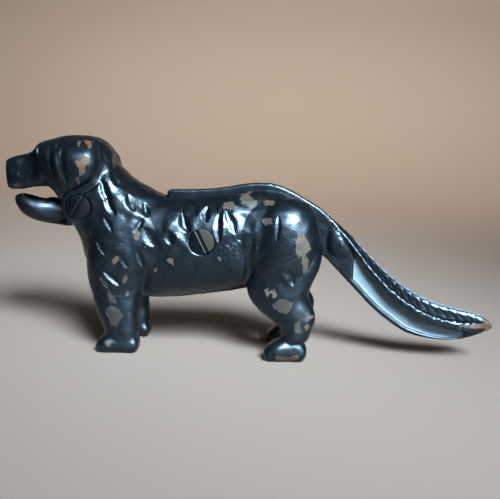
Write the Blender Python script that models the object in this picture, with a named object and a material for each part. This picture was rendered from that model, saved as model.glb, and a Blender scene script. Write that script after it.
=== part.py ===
"""Cast iron nutcracker shaped as a standing dog.

Two hollow shells are screwed together at neck and trunk. Between them lies one
lever: its front end is the lower jaw and its rear end the tail. It turns on the
neck screw, so lifting the tail opens the mouth. Lengths are metres, the nose
points along -X, the near side faces -Y, and the paws stand on z = 0.
"""
import math

import bmesh
import bpy
import numpy as np
from mathutils import Vector

# Driving sizes
LENGTH = 0.280
HEIGHT = 0.119
WIDTH = 0.055
WALL = 0.0045
SEAM_GAP = 0.0003
LEVER_THICK = 0.008
SIDE_PLAY = 0.0005
SHANK_RADIUS = 0.0032
HOLE_PLAY = 0.0004
HEAD_RADIUS = 0.0068
HEAD_HEIGHT = 0.0034
HEAD_PLAY = 0.0004
DRIVE_SLOT = 0.0017
DRIVE_DEPTH = 0.0014
BOSS_RADIUS = 0.0063
STOP_PLAY = 0.0004
EYE_RADIUS = 0.0125
EYE_PLAY = 0.0012
PAD_RIM = 0.0026
EDGE_ROUND = 0.0009
TAIL_HALF_WIDTH = 0.0108
FEATHER_EDGE = 0.0034
FEATHER_CROWN = 0.0022
FEATHER_RELIEF = 0.0007
PANEL_DEPTH = 0.0013
FORM_CELL = 0.0012
SHELL_TRIANGLES = 2300

# Screw axes as shares of the length and of the height
NECK_AXIS = (16.3, 67.5)
BODY_AXIS = (41.1, 54.5)

# How far out the screw heads reach, as shares of half the width
NECK_FACE = 77
BODY_FACE = 92

# Each row of a form gives, in percent of length and height, the top or front
# edge of one cross-section and its bottom or rear edge, then in percent of
# half the width its distance from the middle and its own half width.
TRUNK = (
    (18.6, 93.8, 11.1, 68.9, 0, 70),
    (22.9, 86.2, 11.9, 66.8, 0, 77),
    (25.7, 80.4, 13.4, 59.7, 0, 84),
    (29.3, 76, 15.4, 50.4, 0, 90),
    (32.9, 72.8, 17, 39.3, 0, 94),
    (35.7, 73.2, 22.9, 25.2, 0, 95),
    (40, 74.2, 32.9, 24.2, 0, 95),
    (45.7, 76.2, 42.9, 27.4, 0, 94),
    (51.8, 78.5, 50.4, 31.4, 0, 91),
    (56.8, 77.3, 56.1, 38.7, 0, 85),
    (60.7, 72.3, 60.4, 43.7, 0, 72),
    (63.6, 64.7, 63.6, 50.4, 0, 44),
)
HEAD = (
    (0.5, 84.9, 0.9, 74.8, 0, 30),
    (0.9, 87.2, 1.4, 73.2, 0, 43),
    (2.9, 88.3, 3.3, 73.5, 0, 48),
    (4.6, 89.2, 4.8, 74.5, 0, 46),
    (5.9, 91, 6.8, 75.1, 0, 51),
    (7.5, 95.3, 8.8, 75, 0, 63),
    (9.1, 97.5, 10.5, 72.3, 0, 72),
    (11.4, 99, 12.1, 68.1, 0, 78),
    (14.6, 99.9, 15, 65.5, 0, 80),
    (17.9, 99.2, 18.6, 64.7, 0, 76),
    (20, 96.8, 21.4, 68.9, 0, 67),
    (21.8, 92.4, 23.6, 75.6, 0, 47),
)
EAR = (
    (12.7, 98.3, 18.6, 98.8, 62, 13),
    (11.9, 94.1, 19.7, 94.1, 71, 17),
    (11.7, 88.7, 20.4, 88.2, 76, 19),
    (12, 84, 19.9, 84, 77, 19),
    (12.6, 80.3, 19.1, 80.3, 77, 18),
    (13.5, 77, 17.6, 77, 75, 15),
    (14.3, 74.6, 16, 74.6, 71, 9),
)
FORELEG = (
    (19.5, 66, 29.5, 63.5, 47, 44),
    (17.9, 50.4, 30.9, 48.7, 55, 44),
    (17.8, 37, 30, 35.3, 59, 40),
    (18.9, 27.7, 29, 27.7, 62, 35),
    (19.9, 20.6, 28.5, 20.6, 64, 32),
    (20.9, 14.3, 28.5, 14.3, 66, 29),
    (21.9, 8.8, 28.6, 8.8, 66, 28),
    (22.5, 4.2, 28.4, 4.2, 66, 26),
)
FOREPAW = (
    (28.8, 5.5, 28.8, 1.7, 66, 20),
    (27.9, 8, 27.9, -1.5, 67, 27),
    (25, 8.7, 25, -1.5, 68, 30),
    (22.5, 8.2, 22.5, -1.5, 68, 31),
    (21.1, 6.2, 21.1, -1.4, 68, 27),
    (20.3, 3.8, 20.3, 0.4, 68, 18),
)
HINDLEG = (
    (55, 74.6, 58.6, 75.4, 34, 24),
    (52.2, 71, 61.3, 73, 44, 38),
    (50.8, 64.5, 62.9, 68.4, 51, 44),
    (50.2, 53.8, 63.9, 61.3, 56, 44),
    (50, 42.9, 64.6, 52.1, 60, 41),
    (49.9, 33.6, 64.2, 43.7, 63, 36),
    (50.9, 27.3, 62.9, 36.6, 64, 33),
    (52.7, 22.3, 62.1, 30.3, 65, 30),
    (54.6, 19.3, 63.4, 24.8, 66, 27),
    (56.5, 16, 63.9, 20.2, 66, 26),
    (57.1, 13, 63.2, 14.3, 66, 26),
    (57.3, 9.2, 62.6, 9.2, 66, 26),
)
HINDPAW = (
    (62.4, 6.7, 62.4, 2.1, 66, 19),
    (61.3, 9.7, 61.3, -1.5, 66, 25),
    (59.3, 10.8, 59.3, -1.5, 67, 28),
    (57, 10.1, 57, -1.5, 67, 30),
    (55.4, 8.1, 55.4, -1.5, 67, 30),
    (54.4, 6.1, 54.4, -0.9, 67, 26),
    (53.9, 4.4, 53.9, 0.9, 67, 17),
)
JAW = (
    (1.5, 69.4, 1.6, 67.4, 0, 11),
    (2, 70.4, 2.1, 64.4, 0, 20),
    (3.2, 71.3, 3.2, 61.3, 0, 29),
    (4.6, 71.1, 4.6, 59.2, 0, 33),
    (6.4, 70.1, 6.4, 57.8, 0, 33),
    (8.2, 69.7, 8.2, 57.1, 0, 29),
    (9.8, 69.6, 9.8, 56.7, 0, 22),
    (11.4, 67.2, 11.8, 57.6, 0, 13),
)

# Locks of fur: middle, length and width in percent, turn in degrees, and the
# height in percent of half the width, with dents below zero.
LOCKS = (
    (20.9, 78.0, 4.2, 1.9, -100, 4.7),
    (24.0, 79.6, 3.2, 1.8, -65, -3.6),
    (22.2, 69.7, 5.2, 2.0, -52, 5.1),
    (23.3, 34.8, 5.0, 1.9, -41, 4.4),
    (27.0, 70.9, 4.6, 2.0, -65, -4.4),
    (29.0, 61.0, 4.8, 2.3, -45, 5.5),
    (34.8, 61.5, 7.4, 3.2, -112, 6.2),
    (37.2, 52.5, 4.8, 1.9, -54, 4.7),
    (41.6, 68.6, 4.0, 1.9, -57, 4),
    (45.6, 64.0, 5.2, 2.4, -77, 5.1),
    (31.4, 55.0, 4.4, 3.4, -75, -5.5),
    (50.3, 43.0, 8.0, 2.2, -98, -4.4),
)

# Outline of the lever in percent of length and height
TAIL_TOP = (
    (32.8, 75.3), (33.6, 76.1), (36.4, 76.3), (39.3, 76.7), (42.5, 77.4), (45.4, 78.6),
    (47.9, 79.9), (50.7, 80.9), (53.5, 81), (55.7, 80), (58.2, 77.6), (61.4, 73.6),
    (63.8, 70.4), (65.9, 66.4), (68, 62.4), (70.1, 58.4), (72.1, 53.6), (74.3, 48.6),
    (76.5, 43.6), (78.6, 39.5), (80.7, 35.8), (82.9, 32.9), (84.9, 30.3), (87, 28.3),
    (89.1, 26.9), (91.1, 25.8), (93.2, 24.8), (95.2, 24.1), (97.3, 22.4), (98.8, 20.2),
    (99.7, 18.2),
)
TAIL_UNDER = (
    (99.5, 17), (97.6, 14.5), (95.6, 12.5), (93.6, 11), (91.6, 10.3), (89.6, 10),
    (87.6, 10.3), (84.7, 11.3), (82.3, 12.8), (79.7, 16.4), (77.1, 20.5), (74.6, 25.5),
    (72, 31.6), (69.4, 37.6), (66.8, 43.7), (64.9, 47.9), (62.9, 50.4), (60, 52.9),
    (55.4, 57.1), (50, 59.7), (44.6, 60.8),
)
ARM_UNDER = ((37.1, 55.5), (35, 50.8), (32.1, 48.7), (29.3, 49.2), (25.7, 51.3), (22.1, 54.6))
JAW_PLATE = ((12.9, 56.1), (11.5, 56.5), (9.8, 57), (9.6, 69), (11.6, 70.4))
ARM_TOP = ((21.4, 68.5), (25, 62.6), (28.6, 58.8), (31.8, 57.6), (32.6, 59.2), (33, 63),
           (33.1, 67.5), (33, 71.4))

# Half width of the tail feather and its droop, as shares, at points along it
FEATHER = (
    (64.5, 0.28, 0.5), (68, 0.55, 1.6), (72, 0.8, 4.6), (77, 0.95, 5.9), (84, 1, 6.6),
    (90, 1, 6.3), (94, 0.86, 5.4), (97, 0.62, 3.4), (99.2, 0.3, 1.2),
)
RIB_SPACING = 1.93
RIB_SLANT = 0.6

# Room for the lever between the shells, in percent of length and height
SLOT_UNDER = ((6.4, 51.7), (15.4, 51.7), (18.2, 53.4), (21.8, 50.8), (26.1, 46.2), (30, 44.5),
              (33.6, 45.4), (57.5, 49.2), (61, 46.4), (72.1, 46.2), (72.1, 109.2), (32.5, 109.2),
              (32.5, 72.3), (29.3, 72.3), (25, 73.1), (21.1, 76.5))


def along(share):
    return (share / 100 - 0.5) * LENGTH


def upward(share):
    return share / 100 * HEIGHT


def outward(share):
    return share / 100 * WIDTH / 2


def material(name, colour, roughness, metallic):
    made = bpy.data.materials.new(name)
    made.use_nodes = True
    shader = made.node_tree.nodes["Principled BSDF"]
    shader.inputs["Base Color"].default_value = (*colour, 1.0)
    shader.inputs["Roughness"].default_value = roughness
    shader.inputs["Metallic"].default_value = metallic
    return made


def object_of(name, vertices, faces):
    mesh = bpy.data.meshes.new(name)
    mesh.from_pydata([tuple(v) for v in vertices], [], faces)
    mesh.validate()
    made = bpy.data.objects.new(name, mesh)
    bpy.context.collection.objects.link(made)
    face_out(made)
    return made


def face_out(made):
    bm = bmesh.new()
    bm.from_mesh(made.data)
    bmesh.ops.recalc_face_normals(bm, faces=bm.faces)
    bm.to_mesh(made.data)
    bm.free()


def applied(made):
    graph = bpy.context.evaluated_depsgraph_get()
    mesh = bpy.data.meshes.new_from_object(made.evaluated_get(graph))
    old = made.data
    made.modifiers.clear()
    made.data = mesh
    bpy.data.meshes.remove(old)
    return made


def discard(made):
    mesh = made.data
    bpy.data.objects.remove(made)
    bpy.data.meshes.remove(mesh)


def combined(target, tool, operation):
    """One exact boolean, after which the tool is gone."""
    step = target.modifiers.new("join", "BOOLEAN")
    step.operation = operation
    step.solver = "EXACT"
    step.object = tool
    applied(target)
    discard(tool)
    return target


def smooth_rows(rows, steps):
    """More rows between the given ones, on a curve through all of them."""
    rows = [np.array(row, float) for row in rows]
    ends = [2 * rows[0] - rows[1], *rows, 2 * rows[-1] - rows[-2]]
    made = []
    for i in range(1, len(ends) - 2):
        a, b, c, d = ends[i - 1:i + 3]
        for step in range(steps):
            t = step / steps
            curve = 2 * b + (c - a) * t + (2 * a - 5 * b + 4 * c - d) * t ** 2
            made.append((curve + (3 * b - a - 3 * c + d) * t ** 3) / 2)
    made.append(rows[-1])
    return made


def section(row, corners, squareness, inset):
    """One closed ring of points round a cross-section of a form."""
    edge_a = Vector((along(row[0]), 0, upward(row[1])))
    edge_b = Vector((along(row[2]), 0, upward(row[3])))
    middle = (edge_a + edge_b) / 2
    reach = (edge_a - edge_b) / 2
    reach *= max(1 - inset / max(reach.length, 1e-6), 0.2)
    offset = -outward(row[4])
    half = max(outward(row[5]) - inset, outward(3))
    ring = []
    for i in range(corners):
        turn = 2 * math.pi * i / corners
        c = math.copysign(abs(math.cos(turn)) ** (2 / squareness), math.cos(turn))
        s = math.copysign(abs(math.sin(turn)) ** (2 / squareness), math.sin(turn))
        point = middle + reach * c
        ring.append(Vector((point.x, offset + half * s, point.z)))
    return ring


def skinned(name, rings):
    """A closed body through a list of rings with equal numbers of points."""
    count = len(rings[0])
    vertices = [point for ring in rings for point in ring]
    faces = [tuple(range(count)), tuple(range(len(vertices) - count, len(vertices)))]
    for r in range(len(rings) - 1):
        for i in range(count):
            j = (i + 1) % count
            low = r * count
            faces.append((low + i, low + j, low + count + j, low + count + i))
    return object_of(name, vertices, faces)


def form(name, rows, steps=4, corners=28, squareness=2.3, inset=0.0):
    rings = [section(row, corners, squareness, inset) for row in smooth_rows(rows, steps)]
    return skinned(name, rings)


def prism(name, outline, half, bevel=0.0):
    """A flat plate with the given outline in the middle plane."""
    count = len(outline)
    vertices = [(x, y, z) for y in (-half, half) for x, z in outline]
    faces = [tuple(range(count)), tuple(range(count, 2 * count))]
    for i in range(count):
        j = (i + 1) % count
        faces.append((i, j, count + j, count + i))
    made = object_of(name, vertices, faces)
    if bevel:
        rounding = made.modifiers.new("edges", "BEVEL")
        rounding.width = bevel
        rounding.segments = 1
        rounding.limit_method = "ANGLE"
        rounding.angle_limit = math.radians(60)
        applied(made)
    return made


def rod(name, axis, radius, y_low, y_high, corners=32):
    """A round bar across the dog, its middle line through the given shares."""
    centre = (along(axis[0]), upward(axis[1]))
    rings = []
    for y in (y_low, y_high):
        ring = []
        for i in range(corners):
            turn = 2 * math.pi * i / corners
            ring.append((centre[0] + radius * math.cos(turn), y,
                         centre[1] + radius * math.sin(turn)))
        rings.append(ring)
    return skinned(name, rings)


def lock_relief(points, normals):
    """How far each surface point moves out for the locks of fur."""
    relief = np.zeros(len(points))
    facing = np.clip(-normals[:, 1] * 1.6, 0, 1)
    for u, v, length, width, turn, height in LOCKS:
        angle = math.radians(turn)
        dx = points[:, 0] - along(u)
        dz = points[:, 2] - upward(v)
        s = (dx * math.cos(angle) + dz * math.sin(angle)) / (length / 200 * LENGTH)
        t = (dz * math.cos(angle) - dx * math.sin(angle)) / (width / 200 * LENGTH)
        spread = np.clip(1 - s ** 2, 0, 1) ** 0.6 * (1 - 0.35 * s)
        profile = np.sin(np.clip(1.15 - np.abs(t) / np.maximum(spread, 1e-6), 0, 1) * math.pi / 2) ** 1.5
        profile[np.abs(s) >= 1] = 0
        relief += profile * facing * outward(height)
    return relief


def toe_relief(points):
    """Grooves between the toes of both paws."""
    relief = np.zeros(len(points))
    for start, toe_end, top in ((20.3, 23.6, 8.5), (53.9, 57.3, 9.5)):
        front = np.clip((along(toe_end) - points[:, 0]) / (along(toe_end) - along(start)), 0, 1)
        inside = (points[:, 0] > along(start - 1)) & (points[:, 2] < upward(top))
        across = (-points[:, 1] - outward(67)) / outward(60)
        groove = np.clip(np.cos(across * 4 * 2 * math.pi), 0, 1) ** 4
        relief -= np.where(inside, groove * front ** 0.5 * outward(2.6), 0)
    return relief


def near_side():
    """The near outside of the dog as one closed body, cut at seam and soles."""
    parts = [
        form("trunk", TRUNK, squareness=2.4),
        form("head", HEAD, squareness=2.7),
        form("ear", EAR, squareness=2.2),
        form("foreleg", FORELEG),
        form("forepaw", FOREPAW),
        form("hindleg", HINDLEG),
        form("hindpaw", HINDPAW),
        rod("pad", NECK_AXIS, HEAD_RADIUS + PAD_RIM, -outward(NECK_FACE - 1),
            -LEVER_THICK / 2),
    ]
    bm = bmesh.new()
    for part in parts:
        bm.from_mesh(part.data)
    body = parts[0]
    bm.to_mesh(body.data)
    bm.free()
    for part in parts[1:]:
        discard(part)
    melt = body.modifiers.new("melt", "REMESH")
    melt.mode = "VOXEL"
    melt.voxel_size = FORM_CELL
    settle = body.modifiers.new("settle", "SMOOTH")
    settle.factor = 0.5
    settle.iterations = 7
    applied(body)
    mesh = body.data
    count = len(mesh.vertices)
    points = np.empty(count * 3)
    mesh.vertices.foreach_get("co", points)
    points = points.reshape(-1, 3)
    normals = np.empty(count * 3)
    mesh.vertex_normals.foreach_get("vector", normals)
    normals = normals.reshape(-1, 3)
    moved = points + normals * (lock_relief(points, normals) + toe_relief(points))[:, None]
    mesh.vertices.foreach_set("co", moved.ravel())
    trim(body, Vector((0, -SEAM_GAP / 2, 0)), Vector((0, 1, 0)))
    trim(body, Vector((0, 0, 0)), Vector((0, 0, -1)))
    thin(body, SHELL_TRIANGLES)
    return body


def trim(body, point, away):
    """Cuts off what lies beyond a plane and closes the cut."""
    bm = bmesh.new()
    bm.from_mesh(body.data)
    everything = bm.verts[:] + bm.edges[:] + bm.faces[:]
    bmesh.ops.bisect_plane(bm, geom=everything, plane_co=point, plane_no=away, clear_outer=True)
    rim = [edge for edge in bm.edges if edge.is_boundary]
    bmesh.ops.holes_fill(bm, edges=rim, sides=0)
    bmesh.ops.recalc_face_normals(bm, faces=bm.faces)
    bmesh.ops.triangulate(bm, faces=bm.faces)
    bm.to_mesh(body.data)
    bm.free()


def thin(body, target):
    """Fewer triangles, with the seam and the soles kept flat."""
    fewer = body.modifiers.new("fewer", "DECIMATE")
    fewer.ratio = target / len(body.data.polygons)
    applied(body)
    for vertex in body.data.vertices:
        if abs(vertex.co.y + SEAM_GAP / 2) < FORM_CELL / 3:
            vertex.co.y = -SEAM_GAP / 2
        if vertex.co.z < FORM_CELL / 3:
            vertex.co.z = 0


def mirrored(body, name):
    made = body.copy()
    made.data = body.data.copy()
    made.name = name
    bpy.context.collection.objects.link(made)
    for vertex in made.data.vertices:
        vertex.co.y = -vertex.co.y
    made.data.flip_normals()
    return made


def head_face(axis):
    """Distance from the middle plane to the outer face of a screw head."""
    return outward(NECK_FACE if axis == NECK_AXIS else BODY_FACE)


def hollowed(shell, side):
    """Takes out the hollow and the lever's room, then adds the screw's boss and seat."""
    inner = TRUNK[3:-1]
    ends = (inner[0], inner[-1])
    rings = [section(row, 14, 2.4, 2 * WALL if row in ends else WALL) for row in inner]
    combined(shell, skinned("hollow", rings), "DIFFERENCE")
    room = [(along(u), upward(v)) for u, v in SLOT_UNDER]
    room += eye_arc(65, 157, 8, EYE_RADIUS + EYE_PLAY)
    room.append((along(6.4), upward(NECK_AXIS[1] + 4.6)))
    combined(shell, prism("room", room, LEVER_THICK / 2 + SIDE_PLAY), "DIFFERENCE")
    depth = head_face(BODY_AXIS) - WALL / 2
    low, high = sorted((side * SEAM_GAP / 2, side * depth))
    combined(shell, rod("boss", BODY_AXIS, BOSS_RADIUS, low, high), "UNION")
    backing = head_face(BODY_AXIS) - HEAD_HEIGHT - WALL
    low, high = sorted((side * backing, side * depth))
    return combined(shell, rod("backing", BODY_AXIS, HEAD_RADIUS + PAD_RIM, low, high), "UNION")


def drilled(shell, side, axis):
    """The hole of one screw, with the seat of its head on the near side."""
    hole = rod("hole", axis, SHANK_RADIUS + HOLE_PLAY, -WIDTH, WIDTH, 24)
    if side > 0:
        return combined(shell, hole, "DIFFERENCE")
    combined(shell, hole, "DIFFERENCE")
    floor = head_face(axis) - HEAD_HEIGHT - SEAM_GAP
    seat = rod("seat", axis, HEAD_RADIUS + HEAD_PLAY, -WIDTH, -floor)
    return combined(shell, seat, "DIFFERENCE")


def screw(name, axis):
    """A slotted screw whose rounded head lies in the near shell."""
    centre = Vector((along(axis[0]), 0, upward(axis[1])))
    face = head_face(axis)
    under = face - HEAD_HEIGHT
    far_end = face - HEAD_HEIGHT / 2
    profile = (
        (0, -face), (HEAD_RADIUS * 0.55, -face + HEAD_HEIGHT * 0.03),
        (HEAD_RADIUS * 0.87, -face + HEAD_HEIGHT * 0.15),
        (HEAD_RADIUS, -face + HEAD_HEIGHT * 0.38), (HEAD_RADIUS, -under), (SHANK_RADIUS, -under),
        (SHANK_RADIUS, far_end - SHANK_RADIUS * 0.2), (SHANK_RADIUS * 0.8, far_end), (0, far_end),
    )
    bm = bmesh.new()
    spine = [bm.verts.new((r, y, 0)) for r, y in profile]
    edges = [bm.edges.new(pair) for pair in zip(spine, spine[1:])]
    bmesh.ops.spin(bm, geom=spine + edges, cent=(0, 0, 0), axis=(0, 1, 0), steps=20,
                   angle=2 * math.pi, use_duplicate=False)
    bmesh.ops.remove_doubles(bm, verts=bm.verts, dist=1e-6)
    bmesh.ops.recalc_face_normals(bm, faces=bm.faces)
    mesh = bpy.data.meshes.new(name)
    bm.to_mesh(mesh)
    bm.free()
    made = bpy.data.objects.new(name, mesh)
    bpy.context.collection.objects.link(made)
    size = (HEAD_RADIUS * 1.2, DRIVE_DEPTH, DRIVE_SLOT / 2)
    corners = [(x * size[0], -face + y * size[1], z * size[2])
               for x in (-1, 1) for y in (-1, 1) for z in (-1, 1)]
    faces = [(0, 1, 3, 2), (4, 5, 7, 6), (0, 1, 5, 4), (2, 3, 7, 6), (0, 2, 6, 4), (1, 3, 7, 5)]
    drive = object_of("drive", corners, faces)
    turn = math.radians(120 if axis == NECK_AXIS else 62)
    for vertex in drive.data.vertices:
        x, z = vertex.co.x, vertex.co.z
        vertex.co.x = x * math.cos(turn) + z * math.sin(turn)
        vertex.co.z = z * math.cos(turn) - x * math.sin(turn)
    combined(made, drive, "DIFFERENCE")
    for vertex in made.data.vertices:
        vertex.co += centre
    return made


def eye_arc(start, end, steps, reach):
    """Points round the neck screw's axis, from one angle in degrees to another."""
    turns = [math.radians(start + (end - start) * i / steps) for i in range(steps + 1)]
    return [(along(NECK_AXIS[0]) + reach * math.cos(turn),
             upward(NECK_AXIS[1]) + reach * math.sin(turn)) for turn in turns]


def lever_outline():
    stop = upward(BODY_AXIS[1]) + BOSS_RADIUS + STOP_PLAY
    rest = [(along(43.2), stop), (along(38.9), stop)]
    outline = [(along(u), upward(v)) for u, v in TAIL_TOP + TAIL_UNDER]
    outline += rest + [(along(u), upward(v)) for u, v in ARM_UNDER]
    outline += eye_arc(-62, -112, 4, EYE_RADIUS)
    outline += [(along(u), upward(v)) for u, v in JAW_PLATE]
    outline += eye_arc(143, 37, 9, EYE_RADIUS)
    outline += [(along(u), upward(v)) for u, v in ARM_TOP]
    return outline


def feather():
    """The domed upper side of the tail with its slanting ribs."""
    ridge_u = [u for u, v in TAIL_TOP]
    ridge_v = [v for u, v in TAIL_TOP]
    spots = [row[0] for row in FEATHER]
    steps = []
    u = FEATHER[0][0]
    while u < FEATHER[-1][0]:
        steps.append(u)
        u += RIB_SPACING / 2 if u > 70 else RIB_SPACING
    steps.append(FEATHER[-1][0])
    lanes = (-1, -0.8, 0, 0.8, 1)
    rings = []
    for number, u in enumerate(steps):
        share = np.interp(u, spots, [row[1] for row in FEATHER])
        droop = upward(np.interp(u, spots, [row[2] for row in FEATHER]))
        wide = share * TAIL_HALF_WIDTH
        ribbed = FEATHER_RELIEF if number % 2 and 70 < u < 98 else 0
        top = []
        under = []
        for lane in lanes:
            shift = RIB_SLANT * abs(lane) * wide * min(1, (100 - u) / 6) * min(1, (u - 62) / 8)
            x = min(along(u) + shift, along(99.4))
            ridge = upward(np.interp((x / LENGTH + 0.5) * 100, ridge_u, ridge_v))
            z = ridge - droop * abs(lane) ** 1.6
            thick = FEATHER_EDGE + FEATHER_CROWN * (1 - lane ** 2)
            grip = 1 if 0 < abs(lane) < 1 else 0.2
            top.append((x, lane * wide, z + ribbed * grip - FEATHER_RELIEF / 4))
            if abs(lane) != 0.8:
                under.append((x, lane * wide * 0.96, z - thick * min(1, (100.5 - u) / 4)))
        rings.append(top + under[::-1])
    return skinned("feather", rings)


def tail_root():
    """The round part where the tail leaves the rump."""
    rows = (
        (65.6, 65, 64.9, 51, 0, 11), (66.8, 64.6, 65.9, 48, 0, 21), (68.2, 61.8, 67.2, 46.4, 0, 23),
        (69.8, 58.4, 68.8, 45.6, 0, 20), (71.2, 55.2, 70.4, 45.4, 0, 13),
    )
    return form("root", rows, 1, 12, 2.2)


def panel(side):
    """Cutter for the sunk side of the tail below its feather."""
    u_values = [71 + i * 2.9 for i in range(9)]
    under = sorted(TAIL_UNDER)
    top = sorted(TAIL_TOP)
    low = [np.interp(u, [p[0] for p in under], [p[1] for p in under]) + 2.6 for u in u_values]
    high = [np.interp(u, [p[0] for p in top], [p[1] for p in top]) - 5.5 for u in u_values]
    high = [max(h, l + 0.4) for h, l in zip(high, low)]
    outline = [(along(u), upward(v)) for u, v in zip(u_values, low)]
    outline += [(along(u), upward(v)) for u, v in reversed(list(zip(u_values, high)))]
    made = prism("panel", outline, LEVER_THICK / 2)
    for vertex in made.data.vertices:
        vertex.co.y += side * (LEVER_THICK - PANEL_DEPTH)
    return made


def lever():
    made = prism("tail_lever", lever_outline(), LEVER_THICK / 2, EDGE_ROUND)
    for side in (-1, 1):
        combined(made, panel(side), "DIFFERENCE")
    combined(made, tail_root(), "UNION")
    combined(made, feather(), "UNION")
    jaw = form("jaw", JAW, 2, 14, 2.2)
    bowl_rows = (
        (2.6, 75, 2.8, 70.2, 0, 9), (3.4, 75, 3.6, 68.4, 0, 20), (5, 75, 5, 67.2, 0, 25),
        (7, 75, 7, 67, 0, 24), (8.4, 75, 8.2, 68.3, 0, 15),
    )
    combined(jaw, form("bowl", bowl_rows, 2, 12, 2.2), "DIFFERENCE")
    combined(made, jaw, "UNION")
    hole = rod("hole", NECK_AXIS, SHANK_RADIUS + HOLE_PLAY, -WIDTH, WIDTH, 24)
    combined(made, hole, "DIFFERENCE")
    return made


def finish(made, paint, smooth_angle):
    """One clean triangle mesh with its paint, round parts shaded smooth."""
    bm = bmesh.new()
    bm.from_mesh(made.data)
    bmesh.ops.triangulate(bm, faces=bm.faces)
    bmesh.ops.remove_doubles(bm, verts=bm.verts, dist=1e-5)
    for _ in range(3):
        bmesh.ops.dissolve_degenerate(bm, edges=bm.edges, dist=3e-5)
        bmesh.ops.triangulate(bm, faces=bm.faces)
    bmesh.ops.recalc_face_normals(bm, faces=bm.faces)
    for edge in bm.edges:
        sharp = len(edge.link_faces) == 2 and edge.calc_face_angle(0) > math.radians(smooth_angle)
        edge.smooth = not sharp
    for face in bm.faces:
        face.smooth = True
    bm.to_mesh(made.data)
    bm.free()
    made.data.materials.clear()
    made.data.materials.append(paint)


def main():
    for old in list(bpy.data.objects):
        bpy.data.objects.remove(old)
    left = near_side()
    left.name = "left_half"
    right = mirrored(left, "right_half")
    for shell, side in ((left, -1), (right, 1)):
        hollowed(shell, side)
        for axis in (NECK_AXIS, BODY_AXIS):
            drilled(shell, side, axis)
        finish(shell, material(shell.name + "_paint", (0.012, 0.017, 0.022), 0.36, 0.15), 38)
    finish(lever(), material("tail_lever_paint", (0.014, 0.018, 0.023), 0.34, 0.15), 38)
    for name, axis in (("neck_screw", NECK_AXIS), ("body_screw", BODY_AXIS)):
        finish(screw(name, axis), material(name + "_paint", (0.02, 0.022, 0.026), 0.4, 0.3), 30)


main()
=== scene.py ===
import math

import bmesh
import bpy
import numpy as np
from mathutils import Matrix, Vector


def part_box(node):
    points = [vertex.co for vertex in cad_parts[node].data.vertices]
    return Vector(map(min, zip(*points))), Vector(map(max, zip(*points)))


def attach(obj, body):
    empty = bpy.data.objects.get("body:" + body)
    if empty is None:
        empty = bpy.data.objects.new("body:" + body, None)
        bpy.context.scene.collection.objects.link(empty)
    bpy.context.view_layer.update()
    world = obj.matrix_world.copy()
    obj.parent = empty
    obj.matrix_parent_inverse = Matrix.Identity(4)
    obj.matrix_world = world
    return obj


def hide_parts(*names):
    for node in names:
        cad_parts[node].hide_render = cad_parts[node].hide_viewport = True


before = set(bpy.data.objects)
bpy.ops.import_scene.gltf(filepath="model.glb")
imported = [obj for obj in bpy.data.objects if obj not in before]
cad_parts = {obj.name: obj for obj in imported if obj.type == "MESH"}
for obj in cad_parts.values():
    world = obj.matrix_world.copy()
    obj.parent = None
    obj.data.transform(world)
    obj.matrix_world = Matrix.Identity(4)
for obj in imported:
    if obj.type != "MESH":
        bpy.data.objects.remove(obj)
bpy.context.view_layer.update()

bl_info = {
    "name": "Cast Iron Dog Nutcracker",
    "version": (1, 0, 0),
    "blender": (4, 5, 0),
    "location": "3D View > Sidebar > Nutcracker",
    "description": "Builds the painted castings, screws and stage of a dog nutcracker",
    "category": "Object",
}

# Screw axes as shares of the length and of the height, and how far out the
# screw heads reach, as shares of half the width.
NECK_AXIS = (16.3, 67.5)
BODY_AXIS = (41.1, 54.5)
NECK_FACE = 77
BODY_FACE = 92

# Each row of a form gives, in percent of length and height, the top or front
# edge of one cross-section and its bottom or rear edge, then in percent of
# half the width its distance from the middle and its own half width.
TRUNK = (
    (18.6, 93.8, 11.1, 68.9, 0, 70),
    (22.9, 86.2, 11.9, 66.8, 0, 77),
    (25.7, 80.4, 13.4, 59.7, 0, 84),
    (29.3, 76, 15.4, 50.4, 0, 90),
    (32.9, 72.8, 17, 39.3, 0, 94),
    (35.7, 73.2, 22.9, 25.2, 0, 95),
    (40, 74.2, 32.9, 24.2, 0, 95),
    (45.7, 76.2, 42.9, 27.4, 0, 94),
    (51.8, 78.5, 50.4, 31.4, 0, 91),
    (56.8, 77.3, 56.1, 38.7, 0, 85),
    (60.7, 72.3, 60.4, 43.7, 0, 72),
    (63.6, 64.7, 63.6, 50.4, 0, 44),
)
HEAD = (
    (0.5, 86.6, 0.9, 74, 0, 38),
    (0.9, 88, 1.4, 73.1, 0, 46),
    (2.9, 89.4, 3.3, 73.3, 0, 49),
    (4.6, 90.4, 4.8, 74, 0, 49),
    (5.9, 92, 6.8, 74.8, 0, 52),
    (7.3, 95.9, 8.8, 75, 0, 63),
    (9.1, 97.5, 10.5, 72.3, 0, 72),
    (11.4, 99, 12.1, 68.1, 0, 78),
    (14.6, 99.9, 15, 65.5, 0, 80),
    (17.9, 99.2, 18.6, 64.7, 0, 76),
    (20, 96.8, 21.4, 68.9, 0, 67),
    (21.8, 92.4, 23.6, 75.6, 0, 47),
)
EAR = (
    (13.6, 97.6, 18.2, 97.9, 52, 8),
    (11.6, 93.6, 19.5, 93.6, 69, 17),
    (11.1, 88.7, 20, 88.2, 76, 19),
    (11.4, 84, 19.5, 84, 77, 19),
    (12, 80.3, 18.8, 80.3, 77, 18),
    (12.9, 77, 17.4, 77, 75, 15),
    (13.8, 74.6, 15.8, 74.6, 71, 9),
)
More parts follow.
